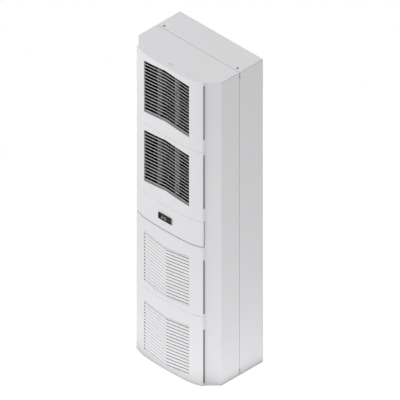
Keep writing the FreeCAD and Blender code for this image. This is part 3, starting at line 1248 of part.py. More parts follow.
NODES = {
    "chassis_side_left": chassis_side_left(),
    "chassis_side_right": chassis_side(),
    "chassis_top": chassis_top(),
    "chassis_base": chassis_base(),
    "rear_plate": rear_plate(),
    "rear_seal": rear_seal(),
    "weld_nuts": weld_nuts(),
    "hood_side_left": mirrored(hood_side()),
    "hood_side_right": hood_side(),
    "hood_top": cap(HOOD_OUTLINE, *TOP_CAP),
    "hood_base": cap(HOOD_OUTLINE, *BASE_CAP),
    "panel_rails": panel_rails(),
    "air_partition": air_partition(),
    "compressor_shelf": compressor_shelf(),
    "compressor_shell": compressor_shell(),
    "compressor_mounts": compressor_mounts(),
    "condenser_headers": condenser_headers(),
    "condenser_tubes": condenser_tubes(),
    "condenser_fins": condenser_fins(),
    "condenser_frame": condenser_frame(),
    "evaporator_fins": evaporator_fins(),
    "evaporator_frame": evaporator_frame(),
    "evaporator_tubes": evaporator_tubes(),
    "discharge_pipe": discharge_pipe(),
    "filter_drier": filter_drier(),
    "liquid_pipe": liquid_pipe(),
    "expansion_valve": expansion_valve(),
    "suction_pipe": suction_pipe(),
    "pressure_switch": pressure_switch(),
    "condensate_tray": condensate_tray(),
    "drain_spout": drain_spout(),
    "electronics_box": electronics_box(),
    "control_board": control_board(),
    "mains_terminal": mains_terminal(),
    "run_capacitor": run_capacitor(),
    "fan_shroud_top": fan_shroud("outlet_top"),
    "fan_shroud_lower": fan_shroud("outlet_lower"),
    "fan_motor_top": fan_motor(Y_FAN_SEAT, FAN_TOP_Z, -1),
    "fan_motor_lower": fan_motor(Y_FAN_SEAT, FAN_LOWER_Z, -1),
    "condenser_fan_top": condenser_fan("outlet_top"),
    "condenser_fan_lower": condenser_fan("outlet_lower"),
    "evaporator_fan_ring": evaporator_fan_ring(),
    "evaporator_fan_motor": fan_motor(Y_WHEEL_SEAT, INLET_Z, 1),
    "evaporator_fan": evaporator_fan(),
    "display_cover": display_cover(),
    "controller_housing": controller_housing(),
    "display_lens": display_lens(),
    "outlet_cover_top": placed(COVER, "outlet_top"),
    "outlet_grille_top": placed(OUTLET_GRILLE, "outlet_top"),
    "outlet_cover_lower": placed(COVER, "outlet_lower"),
    "outlet_grille_lower": placed(OUTLET_GRILLE, "outlet_lower"),
    "intake_cover_upper": placed(COVER, "intake_upper"),
    "intake_grille_upper": placed(INTAKE_GRILLE, "intake_upper"),
    "intake_filter_upper": placed(FILTER, "intake_upper"),
    "intake_cover_lower": placed(COVER, "intake_lower"),
    "intake_grille_lower": placed(INTAKE_GRILLE, "intake_lower"),
    "intake_filter_lower": placed(FILTER, "intake_lower"),
}
for number, key_name in enumerate(KEY_NAMES):
    NODES[key_name] = controller_key(number)

os.makedirs("parts", exist_ok=True)
for node, solid in NODES.items():
    solid.exportStep(f"parts/{node}.step")
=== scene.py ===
import math

import bmesh
import bpy
from mathutils import Matrix, Vector
from mathutils.bvhtree import BVHTree


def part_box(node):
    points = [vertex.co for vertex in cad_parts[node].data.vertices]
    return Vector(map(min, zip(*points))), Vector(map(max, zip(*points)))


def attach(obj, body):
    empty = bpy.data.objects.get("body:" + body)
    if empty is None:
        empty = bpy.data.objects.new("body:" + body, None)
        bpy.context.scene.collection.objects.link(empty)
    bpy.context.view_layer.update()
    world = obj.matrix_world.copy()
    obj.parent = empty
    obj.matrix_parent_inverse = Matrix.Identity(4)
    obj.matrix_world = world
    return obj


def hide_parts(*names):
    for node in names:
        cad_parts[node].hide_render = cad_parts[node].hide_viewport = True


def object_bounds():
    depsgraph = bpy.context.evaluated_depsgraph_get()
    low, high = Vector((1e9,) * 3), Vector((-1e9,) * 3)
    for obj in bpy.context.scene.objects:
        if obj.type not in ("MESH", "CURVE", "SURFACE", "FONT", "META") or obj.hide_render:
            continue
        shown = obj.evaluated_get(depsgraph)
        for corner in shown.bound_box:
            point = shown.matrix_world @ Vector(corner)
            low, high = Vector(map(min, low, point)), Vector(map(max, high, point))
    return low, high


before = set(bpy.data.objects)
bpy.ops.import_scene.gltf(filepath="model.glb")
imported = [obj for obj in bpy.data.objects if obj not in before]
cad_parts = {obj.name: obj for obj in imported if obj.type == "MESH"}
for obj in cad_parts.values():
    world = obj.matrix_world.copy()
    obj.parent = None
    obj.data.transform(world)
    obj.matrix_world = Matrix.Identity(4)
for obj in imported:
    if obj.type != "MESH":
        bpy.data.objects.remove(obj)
cad_box = [list(corner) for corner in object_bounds()]


# Chassis: the rear half of the housing, two folded sides between a top and a base cap of 1.5 mm
# sheet steel. The sheets are cut, folded and welded, then powder coated in light grey, which
# leaves a fine orange peel and a slightly mottled tone.
class Shade:
    """A socket in a finish's node tree. Operators add Math nodes and node() adds any other node."""

    def __init__(self, tree, socket):
        self.tree = tree
        self.socket = socket

    def node(self, kind, settings=(), inputs=(), out=0):
        made = self.tree.nodes.new("ShaderNode" + kind)
        for name, value in dict(settings).items():
            if name == "stops":
                ramp = made.color_ramp
                for place, _ in value[2:]:
                    ramp.elements.new(place)
                for element, (place, colour) in zip(ramp.elements, value):
                    element.position = place
                    element.color = colour
            else:
                setattr(made, name, value)
        for name, value in dict(inputs).items():
            if isinstance(value, Shade):
                self.tree.links.new(value.socket, made.inputs[name])
            else:
                made.inputs[name].default_value = value
        return Shade(self.tree, made.outputs[out])

    def math(self, operation, first, second):
        return self.node("Math", {"operation": operation}, {0: first, 1: second})

    def __add__(self, other):
        return self.math("ADD", self, other)

    __radd__ = __add__

    def __sub__(self, other):
        return self.math("SUBTRACT", self, other)

    def __rsub__(self, other):
        return self.math("SUBTRACT", other, self)

    def __mul__(self, other):
        return self.math("MULTIPLY", self, other)

    __rmul__ = __mul__

    def __abs__(self):
        return self.math("ABSOLUTE", self, 0.0)

    def __gt__(self, other):
        return self.math("GREATER_THAN", self, other)

    def __lt__(self, other):
        return self.math("LESS_THAN", self, other)

    def blend(self, low, high):
        """From colour low to colour high as this value goes from 0 to 1."""
        settings = {"data_type": "RGBA", "clamp_factor": True}
        return self.node("Mix", settings, {0: self, 6: low, 7: high}, out=2)

    def tones(self, colour, low, high):
        """From low times a colour to high times it as this value goes from 0 to 1."""
        return self.blend(tinted(colour, low), tinted(colour, high))

    def feed(self, socket):
        surface = self.tree.nodes["Principled BSDF"]
        self.tree.links.new(self.socket, surface.inputs[socket])


def new_finish(name, **fixed):
    """A material with its even properties set, and the place on the piece, in metres, to vary the rest by."""
    finish = bpy.data.materials.new(name)
    finish.use_nodes = True
    tree = finish.node_tree
    for socket, value in fixed.items():
        tree.nodes["Principled BSDF"].inputs[socket.replace("_", " ")].default_value = value
    place = Shade(tree, None).node("TexCoord", out="Object")
    return finish, place


def tinted(colour, share):
    return tuple(channel * share for channel in colour[:3]) + (1.0,)


def grain(place, size, detail=2.0):
    """Noise whose lumps are about this many metres across."""
    return place.node("TexNoise", {}, {"Vector": place, "Scale": 1 / size, "Detail": detail})


def relief(place, height, depth):
    """Feeds the surface's normal from a height that goes from 0 to 1 over this many metres."""
    bump = place.node("Bump", {}, {"Height": height, "Distance": depth, "Strength": 1.0}, out="Normal")
    bump.feed("Normal")


def dress(finish, *nodes):
    for name in nodes:
        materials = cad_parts[name].data.materials
        materials.clear()
        materials.append(finish)


def powder_coat(name, colour, dust_and_shade=None, shaded_where=None):
    finish, place = new_finish(name)
    mottle = grain(place, size=0.11, detail=4.0)
    peel = grain(place, size=0.0016)
    fine = grain(place, size=0.0005, detail=1.0)
    coat = mottle.tones(colour, 0.985, 1.015)
    # Where the mask is given, the coat is darkened towards the second colour as painted shade.
    if shaded_where:
        coat = shaded_where(place).blend(coat, dust_and_shade)
    coat.feed("Base Color")
    (0.42 + 0.1 * peel).feed("Roughness")
    relief(place, peel * 0.7 + fine * 0.3, depth=0.00006)
    return finish


LIGHT_GREY = (0.757, 0.759, 0.772, 1.0)
housing_coat = powder_coat("housing_coat", LIGHT_GREY)
dress(housing_coat, "chassis_side_left", "chassis_side_right", "chassis_top", "chassis_base")


# Sealant: a dark joint compound, run by gun into the gap between each cap and the upper or lower edge
# of a side and wiped off just below the surface. Its dark grey is also painted shade for the seam line.
# At the front corners it is painted over.
# The compound's dark grey is partly painted shade in the seam.
COMPOUND_AND_SHADE_GREY = (0.055, 0.055, 0.058, 1.0)
COMPOUND_SECTION = ((0.0006, 0.0), (0.00045, 0.3), (0.0004, 0.5), (0.00045, 0.7), (0.0006, 1.0),
                    (0.0014, 1.0), (0.0014, 0.0))
COMPOUND_END = 0.004
COMPOUND_STEP = 0.012
RIPPLE_HEIGHT = 0.00006
RIPPLE_TURN = 2.1
WIPE_SCALES = (900.0, 60.0, 900.0)
SHEET_STEEL = 0.0015
CHASSIS_LOW, CHASSIS_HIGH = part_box("chassis_side_right")
HOUSING_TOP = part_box("chassis_top")[1].z
HOOD_LOW, HOOD_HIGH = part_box("hood_side_right")
HOOD_FRONT = HOOD_LOW.y
HOOD_FRONT_FOLD = -0.078
HOOD_CORNER = 0.05
CORNER_END = 0.002
CORNER_FLUSH = 0.0003


def streaks(place, scales, detail):
    """Noise with this many lumps to a metre along each axis, drawn out along the axis that has the fewest."""
    stretched = place.node("VectorMath", {"operation": "MULTIPLY"}, {0: place, 1: scales})
    return place.node("TexNoise", {}, {"Vector": stretched, "Scale": 1.0, "Detail": detail})


def joint_compound_and_shade(name, colour):
    finish, place = new_finish(name, Specular_IOR_Level=0.3)
    streak = streaks(place, WIPE_SCALES, detail=3.0)
    streak.tones(colour, 0.75, 1.3).feed("Base Color")
    (0.55 + 0.25 * streak).feed("Roughness")
    relief(place, streak, depth=0.00008)
    return finish


def new_piece(name, shape, finish, body):
    """Makes a piece from a bmesh, dresses it and lets it ride on its body."""
    bmesh.ops.recalc_face_normals(shape, faces=shape.faces)
    mesh = bpy.data.meshes.new(name)
    shape.to_mesh(mesh)
    shape.free()
    mesh.materials.append(finish)
    piece = bpy.data.objects.new(name, mesh)
    bpy.context.scene.collection.objects.link(piece)
    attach(piece, body)
    return piece


def smooth_by_angle(piece, degrees):
    piece.data.shade_smooth()
    piece.data.set_sharp_from_angle(angle=math.radians(degrees))


def loft(shape, rings, capped=True):
    """Joins each ring of points to the next with faces, and caps the first and the last ring."""
    for ring, following in zip(rings, rings[1:]):
        for step in range(len(ring)):
            shape.faces.new((ring[step - 1], ring[step], following[step], following[step - 1]))
    if capped:
        shape.faces.new(rings[0])
        shape.faces.new(rings[-1])


def compound_run(shape, start, end, inward, levels, flush=0.0):
    """One run of compound from start to end in the gap between two levels, set back inward from the face."""
    low, high = levels
    count = round((end - start).length / COMPOUND_STEP)
    rows = []
    for step in range(count + 1):
        spot = start.lerp(end, step / count)
        ripple = RIPPLE_HEIGHT * math.sin(RIPPLE_TURN * step) - flush
        row = []
        for depth, share in COMPOUND_SECTION:
            corner = spot + inward * (depth + ripple)
            row.append(shape.verts.new((corner.x, corner.y, low + (high - low) * share)))
        rows.append(row)
    loft(shape, rows)


compound = bmesh.new()
painted_compound = bmesh.new()
for levels in ((CHASSIS_HIGH.z, HOUSING_TOP - SHEET_STEEL), (SHEET_STEEL, CHASSIS_LOW.z)):
    for side in (-1, 1):
        face = side * CHASSIS_HIGH.x
        inward = Vector((-side, 0))
        for start_y, end_y in ((HOOD_FRONT_FOLD, HOOD_HIGH.y - COMPOUND_END),
                               (CHASSIS_LOW.y + COMPOUND_END, CHASSIS_HIGH.y - COMPOUND_END)):
            compound_run(compound, Vector((face, start_y)), Vector((face, end_y)), inward, levels)
        fold = Vector((face - side * CORNER_END, HOOD_FRONT + HOOD_CORNER - CORNER_END))
        front = Vector((face - side * (HOOD_CORNER - CORNER_END), HOOD_FRONT + CORNER_END))
        inward = Vector((-side, 1)).normalized()
        compound_run(painted_compound, front, fold, inward, levels, CORNER_FLUSH)
joint_sealant = new_piece("joint_sealant", compound, joint_compound_and_shade("joint_compound_and_shade", COMPOUND_AND_SHADE_GREY),
                          "cabinet")
corner_sealant = new_piece("corner_sealant", painted_compound, housing_coat, "cabinet")
smooth_by_angle(joint_sealant, degrees=40)
smooth_by_angle(corner_sealant, degrees=40)


# Rear plate: one coated sheet that closes the chassis, with the round warm air inlet above and the
# wide cold air outlet below. Button-head screws hold it to the chassis flanges and hold the fan
# ring round the inlet.
ZINC = (0.56, 0.575, 0.585, 1.0)
PLATE_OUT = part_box("rear_plate")[1].y
PLATE_SCREW_X = 0.2425
PLATE_SCREW_LEVELS = (0.02, 0.26, 0.53, 1.05, 1.32, 1.56)
PLATE_SCREW_RADIUS = 0.0042
PLATE_SCREW_HEIGHT = 0.0023
INLET_Z = 1.3
INLET_SCREW_CIRCLE = 0.087
INLET_SCREW_TURNS = (30, 90, 150, 210, 270, 330)
INLET_SCREW_RADIUS = 0.0036
INLET_SCREW_HEIGHT = 0.002
SCREW_STEPS = 24
SCREW_PROFILE = ((1.0, 0.0, False), (1.0, 0.18, False), (0.93, 0.5, False), (0.78, 0.82, False),
                 (0.62, 1.0, False), (0.52, 1.0, True), (0.52, 0.3, True))
HALF_FLAT = math.pi / 6


def turned_screw(shape, centre, radius, height):
    """Adds a button head that looks along +Y from centre, with a hexagon socket."""
    rings = []
    for share, lift, in_socket in SCREW_PROFILE:
        ring = []
        for step in range(SCREW_STEPS):
            turn = 2 * math.pi * step / SCREW_STEPS
            reach = radius * share
            if in_socket:
                off_flat = turn % (2 * HALF_FLAT) - HALF_FLAT
                reach = reach * (math.cos(HALF_FLAT) / math.cos(off_flat))
            offset = Vector((reach * math.cos(turn), lift * height, reach * math.sin(turn)))
            ring.append(shape.verts.new(centre + offset))
        rings.append(ring)
    loft(shape, rings)


def zinc_plate(name, colour, spangle):
    """Zinc on steel: crystals of this size that differ in tone and gloss."""
    finish, place = new_finish(name, Metallic=0.85)
    crystal = place.node("TexVoronoi", {}, {"Vector": place, "Scale": 1 / spangle}, out="Color")
    tone = crystal.node("SeparateColor", {}, {"Color": crystal}, out="Red")
    haze = grain(place, size=0.03, detail=3.0)
    (tone * 0.7 + haze * 0.3).tones(colour, 0.82, 1.12).feed("Base Color")
    (0.34 + 0.16 * tone).feed("Roughness")
    relief(place, grain(place, size=0.004), depth=0.00004)
    return finish


screw_zinc = zinc_plate("screw_zinc", ZINC, spangle=0.002)
dress(housing_coat, "rear_plate")
screws = bmesh.new()
for level in PLATE_SCREW_LEVELS:
    for side in (-1, 1):
        centre = Vector((side * PLATE_SCREW_X, PLATE_OUT, level))
        turned_screw(screws, centre, PLATE_SCREW_RADIUS, PLATE_SCREW_HEIGHT)
for degrees in INLET_SCREW_TURNS:
    turn = math.radians(degrees)
    x = INLET_SCREW_CIRCLE * math.cos(turn)
    z = INLET_Z + INLET_SCREW_CIRCLE * math.sin(turn)
    turned_screw(screws, Vector((x, PLATE_OUT, z)), INLET_SCREW_RADIUS, INLET_SCREW_HEIGHT)
rear_screws = new_piece("rear_screws", screws, screw_zinc, "cabinet")
smooth_by_angle(rear_screws, degrees=40)


# Seal: a bead of soft polyurethane foam, poured onto the rear plate in one round. It has a crowned
# section and rounded corners, and a skin with small closed pores.
SEAL_BLACK = (0.03, 0.03, 0.031, 1.0)
SEAL_LOW, SEAL_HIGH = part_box("rear_seal")
SEAL_WIDTH = 0.018
SEAL_CORNER = 0.013
SEAL_CORNER_STEPS = 8
SEAL_RUN_STEP = 0.02
SEAL_PROFILE = ((0.0, 0.0), (0.03, 0.34), (0.12, 0.7), (0.28, 0.93), (0.5, 1.0),
                (0.72, 0.93), (0.88, 0.7), (0.97, 0.34), (1.0, 0.0))


def foam_skin(name, colour, pore):
    finish, place = new_finish(name, Specular_IOR_Level=0.3)
    cell = place.node("TexVoronoi", {"feature": "SMOOTH_F1"},
                      {"Vector": place, "Scale": 1 / pore, "Smoothness": 0.4})
    cloud = grain(place, size=0.02, detail=3.0)
    (cell * 0.6 + cloud * 0.4).tones(colour, 1.5, 0.6).feed("Base Color")
    (0.78 + 0.15 * cloud).feed("Roughness")
    relief(place, cell, depth=0.0004)
    return finish


def seal_route():
    """Points along the middle of the bead with the direction that points out of the loop."""
    half_x = SEAL_HIGH.x - SEAL_WIDTH / 2
    middle_z = (SEAL_LOW.z + SEAL_HIGH.z) / 2
    half_z = (SEAL_HIGH.z - SEAL_LOW.z) / 2 - SEAL_WIDTH / 2
    centres = []
    for sign_x, sign_z in ((1, 1), (-1, 1), (-1, -1), (1, -1)):
        x = sign_x * (half_x - SEAL_CORNER)
        centres.append(Vector((x, 0, middle_z + sign_z * (half_z - SEAL_CORNER))))
    route = []
    for quarter, centre in enumerate(centres):
        for step in range(SEAL_CORNER_STEPS + 1):
            turn = math.radians(90 * quarter + 90 * step / SEAL_CORNER_STEPS)
            out = Vector((math.cos(turn), 0, math.sin(turn)))
            route.append((centre + out * SEAL_CORNER, out))
        start = route[-1][0]
        goal = centres[(quarter + 1) % len(centres)] + out * SEAL_CORNER
        run = half_x if quarter % 2 == 0 else half_z
        count = max(2, round(run / SEAL_RUN_STEP))
        for step in range(1, count):
            route.append((start.lerp(goal, step / count), out))
    return route


def waver(count, swing, turn):
    """A share that swings a little below 1 along the bead, as poured foam does."""
    return 1 - swing + swing * math.sin(turn * count)


bead = bmesh.new()
bead_rows = []
for count, (middle, out) in enumerate(seal_route()):
    crown = (SEAL_HIGH.y - SEAL_LOW.y) * waver(count, swing=0.035, turn=0.9)
    width = SEAL_WIDTH * waver(count, swing=0.015, turn=0.37)
    row = []
    for across, lift in SEAL_PROFILE:
        spot = middle + out * width * (across - 0.5)
        row.append(bead.verts.new((spot.x, SEAL_LOW.y + crown * lift, spot.z)))
    bead_rows.append(row)
loft(bead, bead_rows + bead_rows[:1], capped=False)
seal_foam = foam_skin("seal_foam", SEAL_BLACK, pore=0.0011)
seal_bead = new_piece("seal_bead", bead, seal_foam, "cabinet")
smooth_by_angle(seal_bead, degrees=60)
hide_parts("rear_seal")


# Weld nuts: plain steel with a dark phosphate skin, projection welded under the caps and behind the
# rear plate. The lifting eyes and the fixing screws go into them.
PHOSPHATE_GREY = (0.018, 0.018, 0.019, 1.0)


def phosphate(name, colour):
    finish, place = new_finish(name, Metallic=0.3, Specular_IOR_Level=0.25)
    crystal = grain(place, size=0.0004, detail=4.0)
    cloud = grain(place, size=0.006, detail=3.0)
    (crystal * 0.5 + cloud * 0.5).tones(colour, 0.6, 1.5).feed("Base Color")
    (0.6 + 0.25 * crystal).feed("Roughness")
    relief(place, crystal, depth=0.00005)
    return finish


dress(phosphate("phosphate", PHOSPHATE_GREY), "weld_nuts")


# Eye plugs: a plug of black polyethylene in each lifting-eye hole, pushed into the nut's bore until its
# low domed head lies on the cap. It comes out when an eye bolt goes in. Its black also stands in for
# the shade inside the hole.
# The plugs' black is partly painted shade in the holes.
PLUG_SHADE_BLACK = (0.014, 0.014, 0.015, 1.0)
EYE_X = 0.221
EYE_Y = 0.046
PLUG_STEPS = 32
PLUG_PROFILE = ((0.0022, -0.0004), (0.0025, -0.0007), (0.0038, -0.0006), (0.0047, -0.0004), (0.0051, -0.0001),
                (0.0051, -0.00002), (0.0043, -0.00002), (0.0043, 0.0014), (0.0038, 0.0016), (0.0038, 0.0056),
                (0.0034, 0.006))


def polyethylene(name, colour):
    finish, place = new_finish(name, Specular_IOR_Level=0.3)
    swirl = grain(place, size=0.003, detail=3.0)
    scuff = grain(place, size=0.0006)
    swirl.tones(colour, 0.75, 1.3).feed("Base Color")
    (0.4 + 0.2 * scuff).feed("Roughness")
    relief(place, scuff, depth=0.00004)
    return finish


plugs = bmesh.new()
for side in (-1, 1):
    rings = []
    for radius, depth in PLUG_PROFILE:
        ring = []
        for step in range(PLUG_STEPS):
            turn = 2 * math.pi * step / PLUG_STEPS
            x = side * EYE_X + radius * math.cos(turn)
            ring.append(plugs.verts.new((x, EYE_Y + radius * math.sin(turn), HOUSING_TOP - depth)))
        rings.append(ring)
    loft(plugs, rings)
eye_plugs = new_piece("eye_plugs", plugs, polyethylene("polyethylene", PLUG_SHADE_BLACK),
                      "cabinet")
smooth_by_angle(eye_plugs, degrees=35)


# Compressor shelf, partition, condensate tray, heat exchanger frames, panel rails and the electronics
# box: bare hot-dip galvanised steel, cut and folded, with the spangle of its zinc.
galvanised = zinc_plate("galvanised", ZINC, spangle=0.011)
dress(galvanised, "compressor_shelf", "air_partition", "condensate_tray", "panel_rails",
      "condenser_frame", "evaporator_frame", "electronics_box")


# Compressor: a welded steel shell with feet in black enamel, on four rubber mounts, with its run
# capacitor in a drawn aluminium can beside it on the shelf.
COMPRESSOR_BLACK = (0.022, 0.022, 0.024, 1.0)
MOUNT_BLACK = (0.022, 0.022, 0.022, 1.0)
ALUMINIUM = (0.72, 0.73, 0.74, 1.0)
DRAWN_SCALES = (700.0, 60.0, 60.0)


def enamel(name, colour):
    finish, place = new_finish(name, Coat_Roughness=0.08, Coat_Weight=0.6)
    peel = grain(place, size=0.004)
    dust_and_shade = grain(place, size=0.05, detail=5.0)
    dust_and_shade.tones(colour, 0.8, 1.6).feed("Base Color")
    (0.22 + 0.2 * dust_and_shade).feed("Roughness")
    relief(place, peel, depth=0.00012)
    return finish


def mill_aluminium(name, colour, scales):
    finish, place = new_finish(name, Metallic=0.92)
    streak = streaks(place, scales, detail=4.0)
    bloom = grain(place, size=0.02, detail=3.0)
    (streak * 0.7 + bloom * 0.3).tones(colour, 0.78, 1.1).feed("Base Color")
    (0.26 + 0.26 * streak).feed("Roughness")
    relief(place, streak, depth=0.00004)
    return finish


drawn_aluminium = mill_aluminium("drawn_aluminium", ALUMINIUM, DRAWN_SCALES)
dress(enamel("compressor_enamel", COMPRESSOR_BLACK), "compressor_shell")
dress(foam_skin("mount_rubber", MOUNT_BLACK, pore=0.0006), "compressor_mounts")
dress(drawn_aluminium, "run_capacitor")


# Heat exchangers: the condenser has flat extruded tubes with strips of folded fins between two
# headers, and the evaporator has pressed fins on copper tubes. Mill-finish aluminium, streaked
# along the way it was rolled.
ROLLED_SCALES = (30.0, 900.0, 900.0)
rolled_aluminium = mill_aluminium("rolled_aluminium", ALUMINIUM, ROLLED_SCALES)
dress(rolled_aluminium, "condenser_headers", "condenser_tubes", "condenser_fins", "evaporator_fins")


# Refrigerant pipes: drawn copper with a soft sheen, bent and brazed, and darker in patches where
# the torch has oxidised it. The drier, valve and pressure switch are copper and brass bodies.
COPPER = (0.74, 0.42, 0.28, 1.0)
COPPER_OXIDE = (0.33, 0.15, 0.09, 1.0)
BRASS = (0.71, 0.55, 0.27, 1.0)
BRASS_OXIDE = (0.42, 0.29, 0.12, 1.0)
BLACK = (0.0, 0.0, 0.0, 1.0)
WHITE = (1.0, 1.0, 1.0, 1.0)


def drawn_copper(name, colour, oxide):
    finish, place = new_finish(name, Metallic=0.95)
    patch = grain(place, size=0.035, detail=5.0)
    speck = grain(place, size=0.003)
    heated = patch.node("ValToRGB", {"stops": ((0.42, BLACK), (0.7, WHITE))}, {"Fac": patch})
    heated = heated.node("RGBToBW", {}, {"Color": heated})
    (heated * 0.75 + speck * 0.15).blend(colour, oxide).feed("Base Color")
    (0.24 + 0.3 * heated).feed("Roughness")
    relief(place, speck, depth=0.00003)
    return finish


copper = drawn_copper("copper", COPPER, COPPER_OXIDE)
brass = drawn_copper("brass", BRASS, BRASS_OXIDE)
dress(copper, "evaporator_tubes", "discharge_pipe", "liquid_pipe", "suction_pipe", "filter_drier")
dress(brass, "expansion_valve", "pressure_switch")


# Fans: five-bladed axial condenser fans in moulded shrouds with four arms, and a backward-curved wheel
# behind the inlet ring. Matt glass-filled nylon, black at the front and dark grey at the back, on
# die-cast motors. The drain spout and the mains terminal are moulded from the black nylon too.
NYLON_BLACK = (0.011, 0.011, 0.0115, 1.0)
WHEEL_GREY = tinted(NYLON_BLACK, 8.0)


def filled_nylon(name, colour):
    finish, place = new_finish(name, Specular_IOR_Level=0.25)
    fibre = grain(place, size=0.0012, detail=3.0)
    flow = grain(place, size=0.06, detail=4.0)
    (fibre * 0.35 + flow * 0.65).tones(colour, 0.7, 1.35).feed("Base Color")
    (0.5 + 0.18 * fibre).feed("Roughness")
    relief(place, fibre, depth=0.00006)
    return finish


nylon = filled_nylon("nylon", NYLON_BLACK)
dress(nylon, "fan_shroud_top", "fan_shroud_lower", "condenser_fan_top", "condenser_fan_lower",
      "drain_spout", "mains_terminal")
dress(filled_nylon("wheel_nylon", WHEEL_GREY), "evaporator_fan_ring", "evaporator_fan")
dress(drawn_aluminium, "fan_motor_top", "fan_motor_lower", "evaporator_fan_motor")


# Control board: a glass-fibre laminate under green solder mask, with tinned tracks and pads. It is
# fixed on stand-offs in the electronics box.
MASK_GREEN = (0.035, 0.2, 0.1, 1.0)
TRACK_TIN = (0.34, 0.42, 0.3, 1.0)
PAD_RADIUS = 0.22


def printed_board(name, mask, track):
    finish, place = new_finish(name)
    lanes = place.node("TexBrick", {"offset": 0.37, "squash": 1.4, "squash_frequency": 3},
                       {"Vector": place, "Scale": 60.0, "Mortar Size": 0.05, "Mortar Smooth": 0.1,
                        "Color1": BLACK, "Color2": BLACK, "Mortar": WHITE}, out="Fac")
    spread = place.node("TexVoronoi", {}, {"Vector": place, "Scale": 190.0, "Randomness": 0.2})
    metal = lanes.math("MAXIMUM", lanes * 0.45, spread < PAD_RADIUS)
    metal.blend(mask, track).feed("Base Color")
    (0.42 - 0.12 * metal).feed("Roughness")
    relief(place, metal, depth=0.00008)
    return finish


dress(printed_board("printed_board", MASK_GREEN, TRACK_TIN), "control_board")


# Mains terminal: a plug-in connector in the rear plate. Five flat plated pins are pressed into it, with
# their tips tapered to enter the plug.
PIN_COUNT = 5
PIN_PITCH = 0.0115
PIN_SIZE = Vector((0.0012, 0.013, 0.005))
PIN_ROOT = 0.02
TIP_WIDTH = 0.4
TIP_HEIGHT = 0.7
TERMINAL_LOW, TERMINAL_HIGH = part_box("mains_terminal")
pins = bmesh.new()
for count in range(PIN_COUNT):
    x = (TERMINAL_LOW.x + TERMINAL_HIGH.x) / 2 + (count - (PIN_COUNT - 1) / 2) * PIN_PITCH
    y = PLATE_OUT - PIN_ROOT + PIN_SIZE.y / 2
    z = (TERMINAL_LOW.z + TERMINAL_HIGH.z) / 2
    placed = Matrix.Translation((x, y, z)) @ Matrix.Diagonal((*PIN_SIZE, 1.0))
    made = bmesh.ops.create_cube(pins, size=1.0, matrix=placed)
    for corner in made["verts"]:
        if corner.co.y > y:
            corner.co.x = x + (corner.co.x - x) * TIP_WIDTH
            corner.co.z = z + (corner.co.z - z) * TIP_HEIGHT
new_piece("terminal_pins", pins, screw_zinc, "cabinet")


# Hood: the front half of the housing, folded and coated like the chassis, with its front corners
# at 45 degrees. Its caps close the top and base, and the covers snap onto its front flanges. Where the
# flanges show through the side slots, the coat is painted darker as shade, more of it low down.
FLANGE_LAP = 0.0004
FLANGE_SHADE = (0.25, 0.25, 0.255, 1.0)
SHADE_TOP = 1.42
SHADE_RISE = 0.45
DISPLAY_MIDDLE = 0.79
DISPLAY_HALF = 0.067


def along(place, axis):
    return place.node("SeparateXYZ", {}, {"Vector": place}, out=axis)


# Share of painted shade on the front flanges, clear of the display, more of it lower down.
def flange_shade(place):
    level = along(place, "Z")
    clear_of_display = abs(level - DISPLAY_MIDDLE) > DISPLAY_HALF
    return (along(place, "Y") < HOOD_FRONT + FLANGE_LAP) * clear_of_display * (SHADE_RISE * (SHADE_TOP - level))


hood_coat = powder_coat("hood_coat", LIGHT_GREY, FLANGE_SHADE, flange_shade)
dress(hood_coat, "hood_side_left", "hood_side_right")
dress(housing_coat, "hood_top", "hood_base")


# Covers: moulded in a light grey plastic with a satin, finely eroded texture. They snap onto the hood
# with pegs, and a half-round groove at the end of each, painted dark as shade, shows where to pry it off.
# The ledge under the middle cover is painted a little darker as shade.
COVER_SHADE = (0.07, 0.07, 0.072, 1.0)
PRY_OUTER = 0.0103
PRY_INNER = 0.0077
PRY_Y = -0.13
PRY_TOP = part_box("outlet_cover_top")[1].z
PRY_LIP = 0.0002
PRY_DEPTH = 0.0029
LEDGE_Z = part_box("intake_cover_upper")[1].z
LEDGE_LAP = 0.0001
LEDGE_SHADE = 0.16
AIR_COVERS = {"outlet_top": "outlet_cover_top", "outlet_lower": "outlet_cover_lower",
              "intake_upper": "intake_cover_upper", "intake_lower": "intake_cover_lower"}


def moulded_grey(name, colour, shade_colour, shaded_places):
    finish, place = new_finish(name)
    eroded = grain(place, size=0.0007, detail=3.0)
    flow = grain(place, size=0.16, detail=3.0)
    unshaded_tone = flow.tones(colour, 0.988, 1.012)
    # Where the mask is set, the colour is darkened as painted shade.
    shaded_places(place).blend(unshaded_tone, shade_colour).feed("Base Color")
    (0.46 + 0.12 * eroded).feed("Roughness")
    relief(place, eroded, depth=0.00004)
    return finish


def in_pry_groove(place):
    x, y, z = (along(place, axis) for axis in "XYZ")
    reach = x * x + (y - PRY_Y) * (y - PRY_Y)
    ring = (reach < PRY_OUTER * PRY_OUTER) * (reach > PRY_INNER * PRY_INNER)
    return ring * (z < PRY_TOP - PRY_LIP) * (z > PRY_TOP - PRY_DEPTH)


# Painted shade: in the pry groove, and a little on the ledge under the middle cover.
def where_shade_is_painted(place):
    on_ledge = abs(along(place, "Z") - LEDGE_Z) < LEDGE_LAP
    return place.math("MAXIMUM", in_pry_groove(place), LEDGE_SHADE * on_ledge)


cover_plastic = moulded_grey("cover_plastic", LIGHT_GREY, COVER_SHADE, where_shade_is_painted)
dress(cover_plastic, *AIR_COVERS.values(), "display_cover")


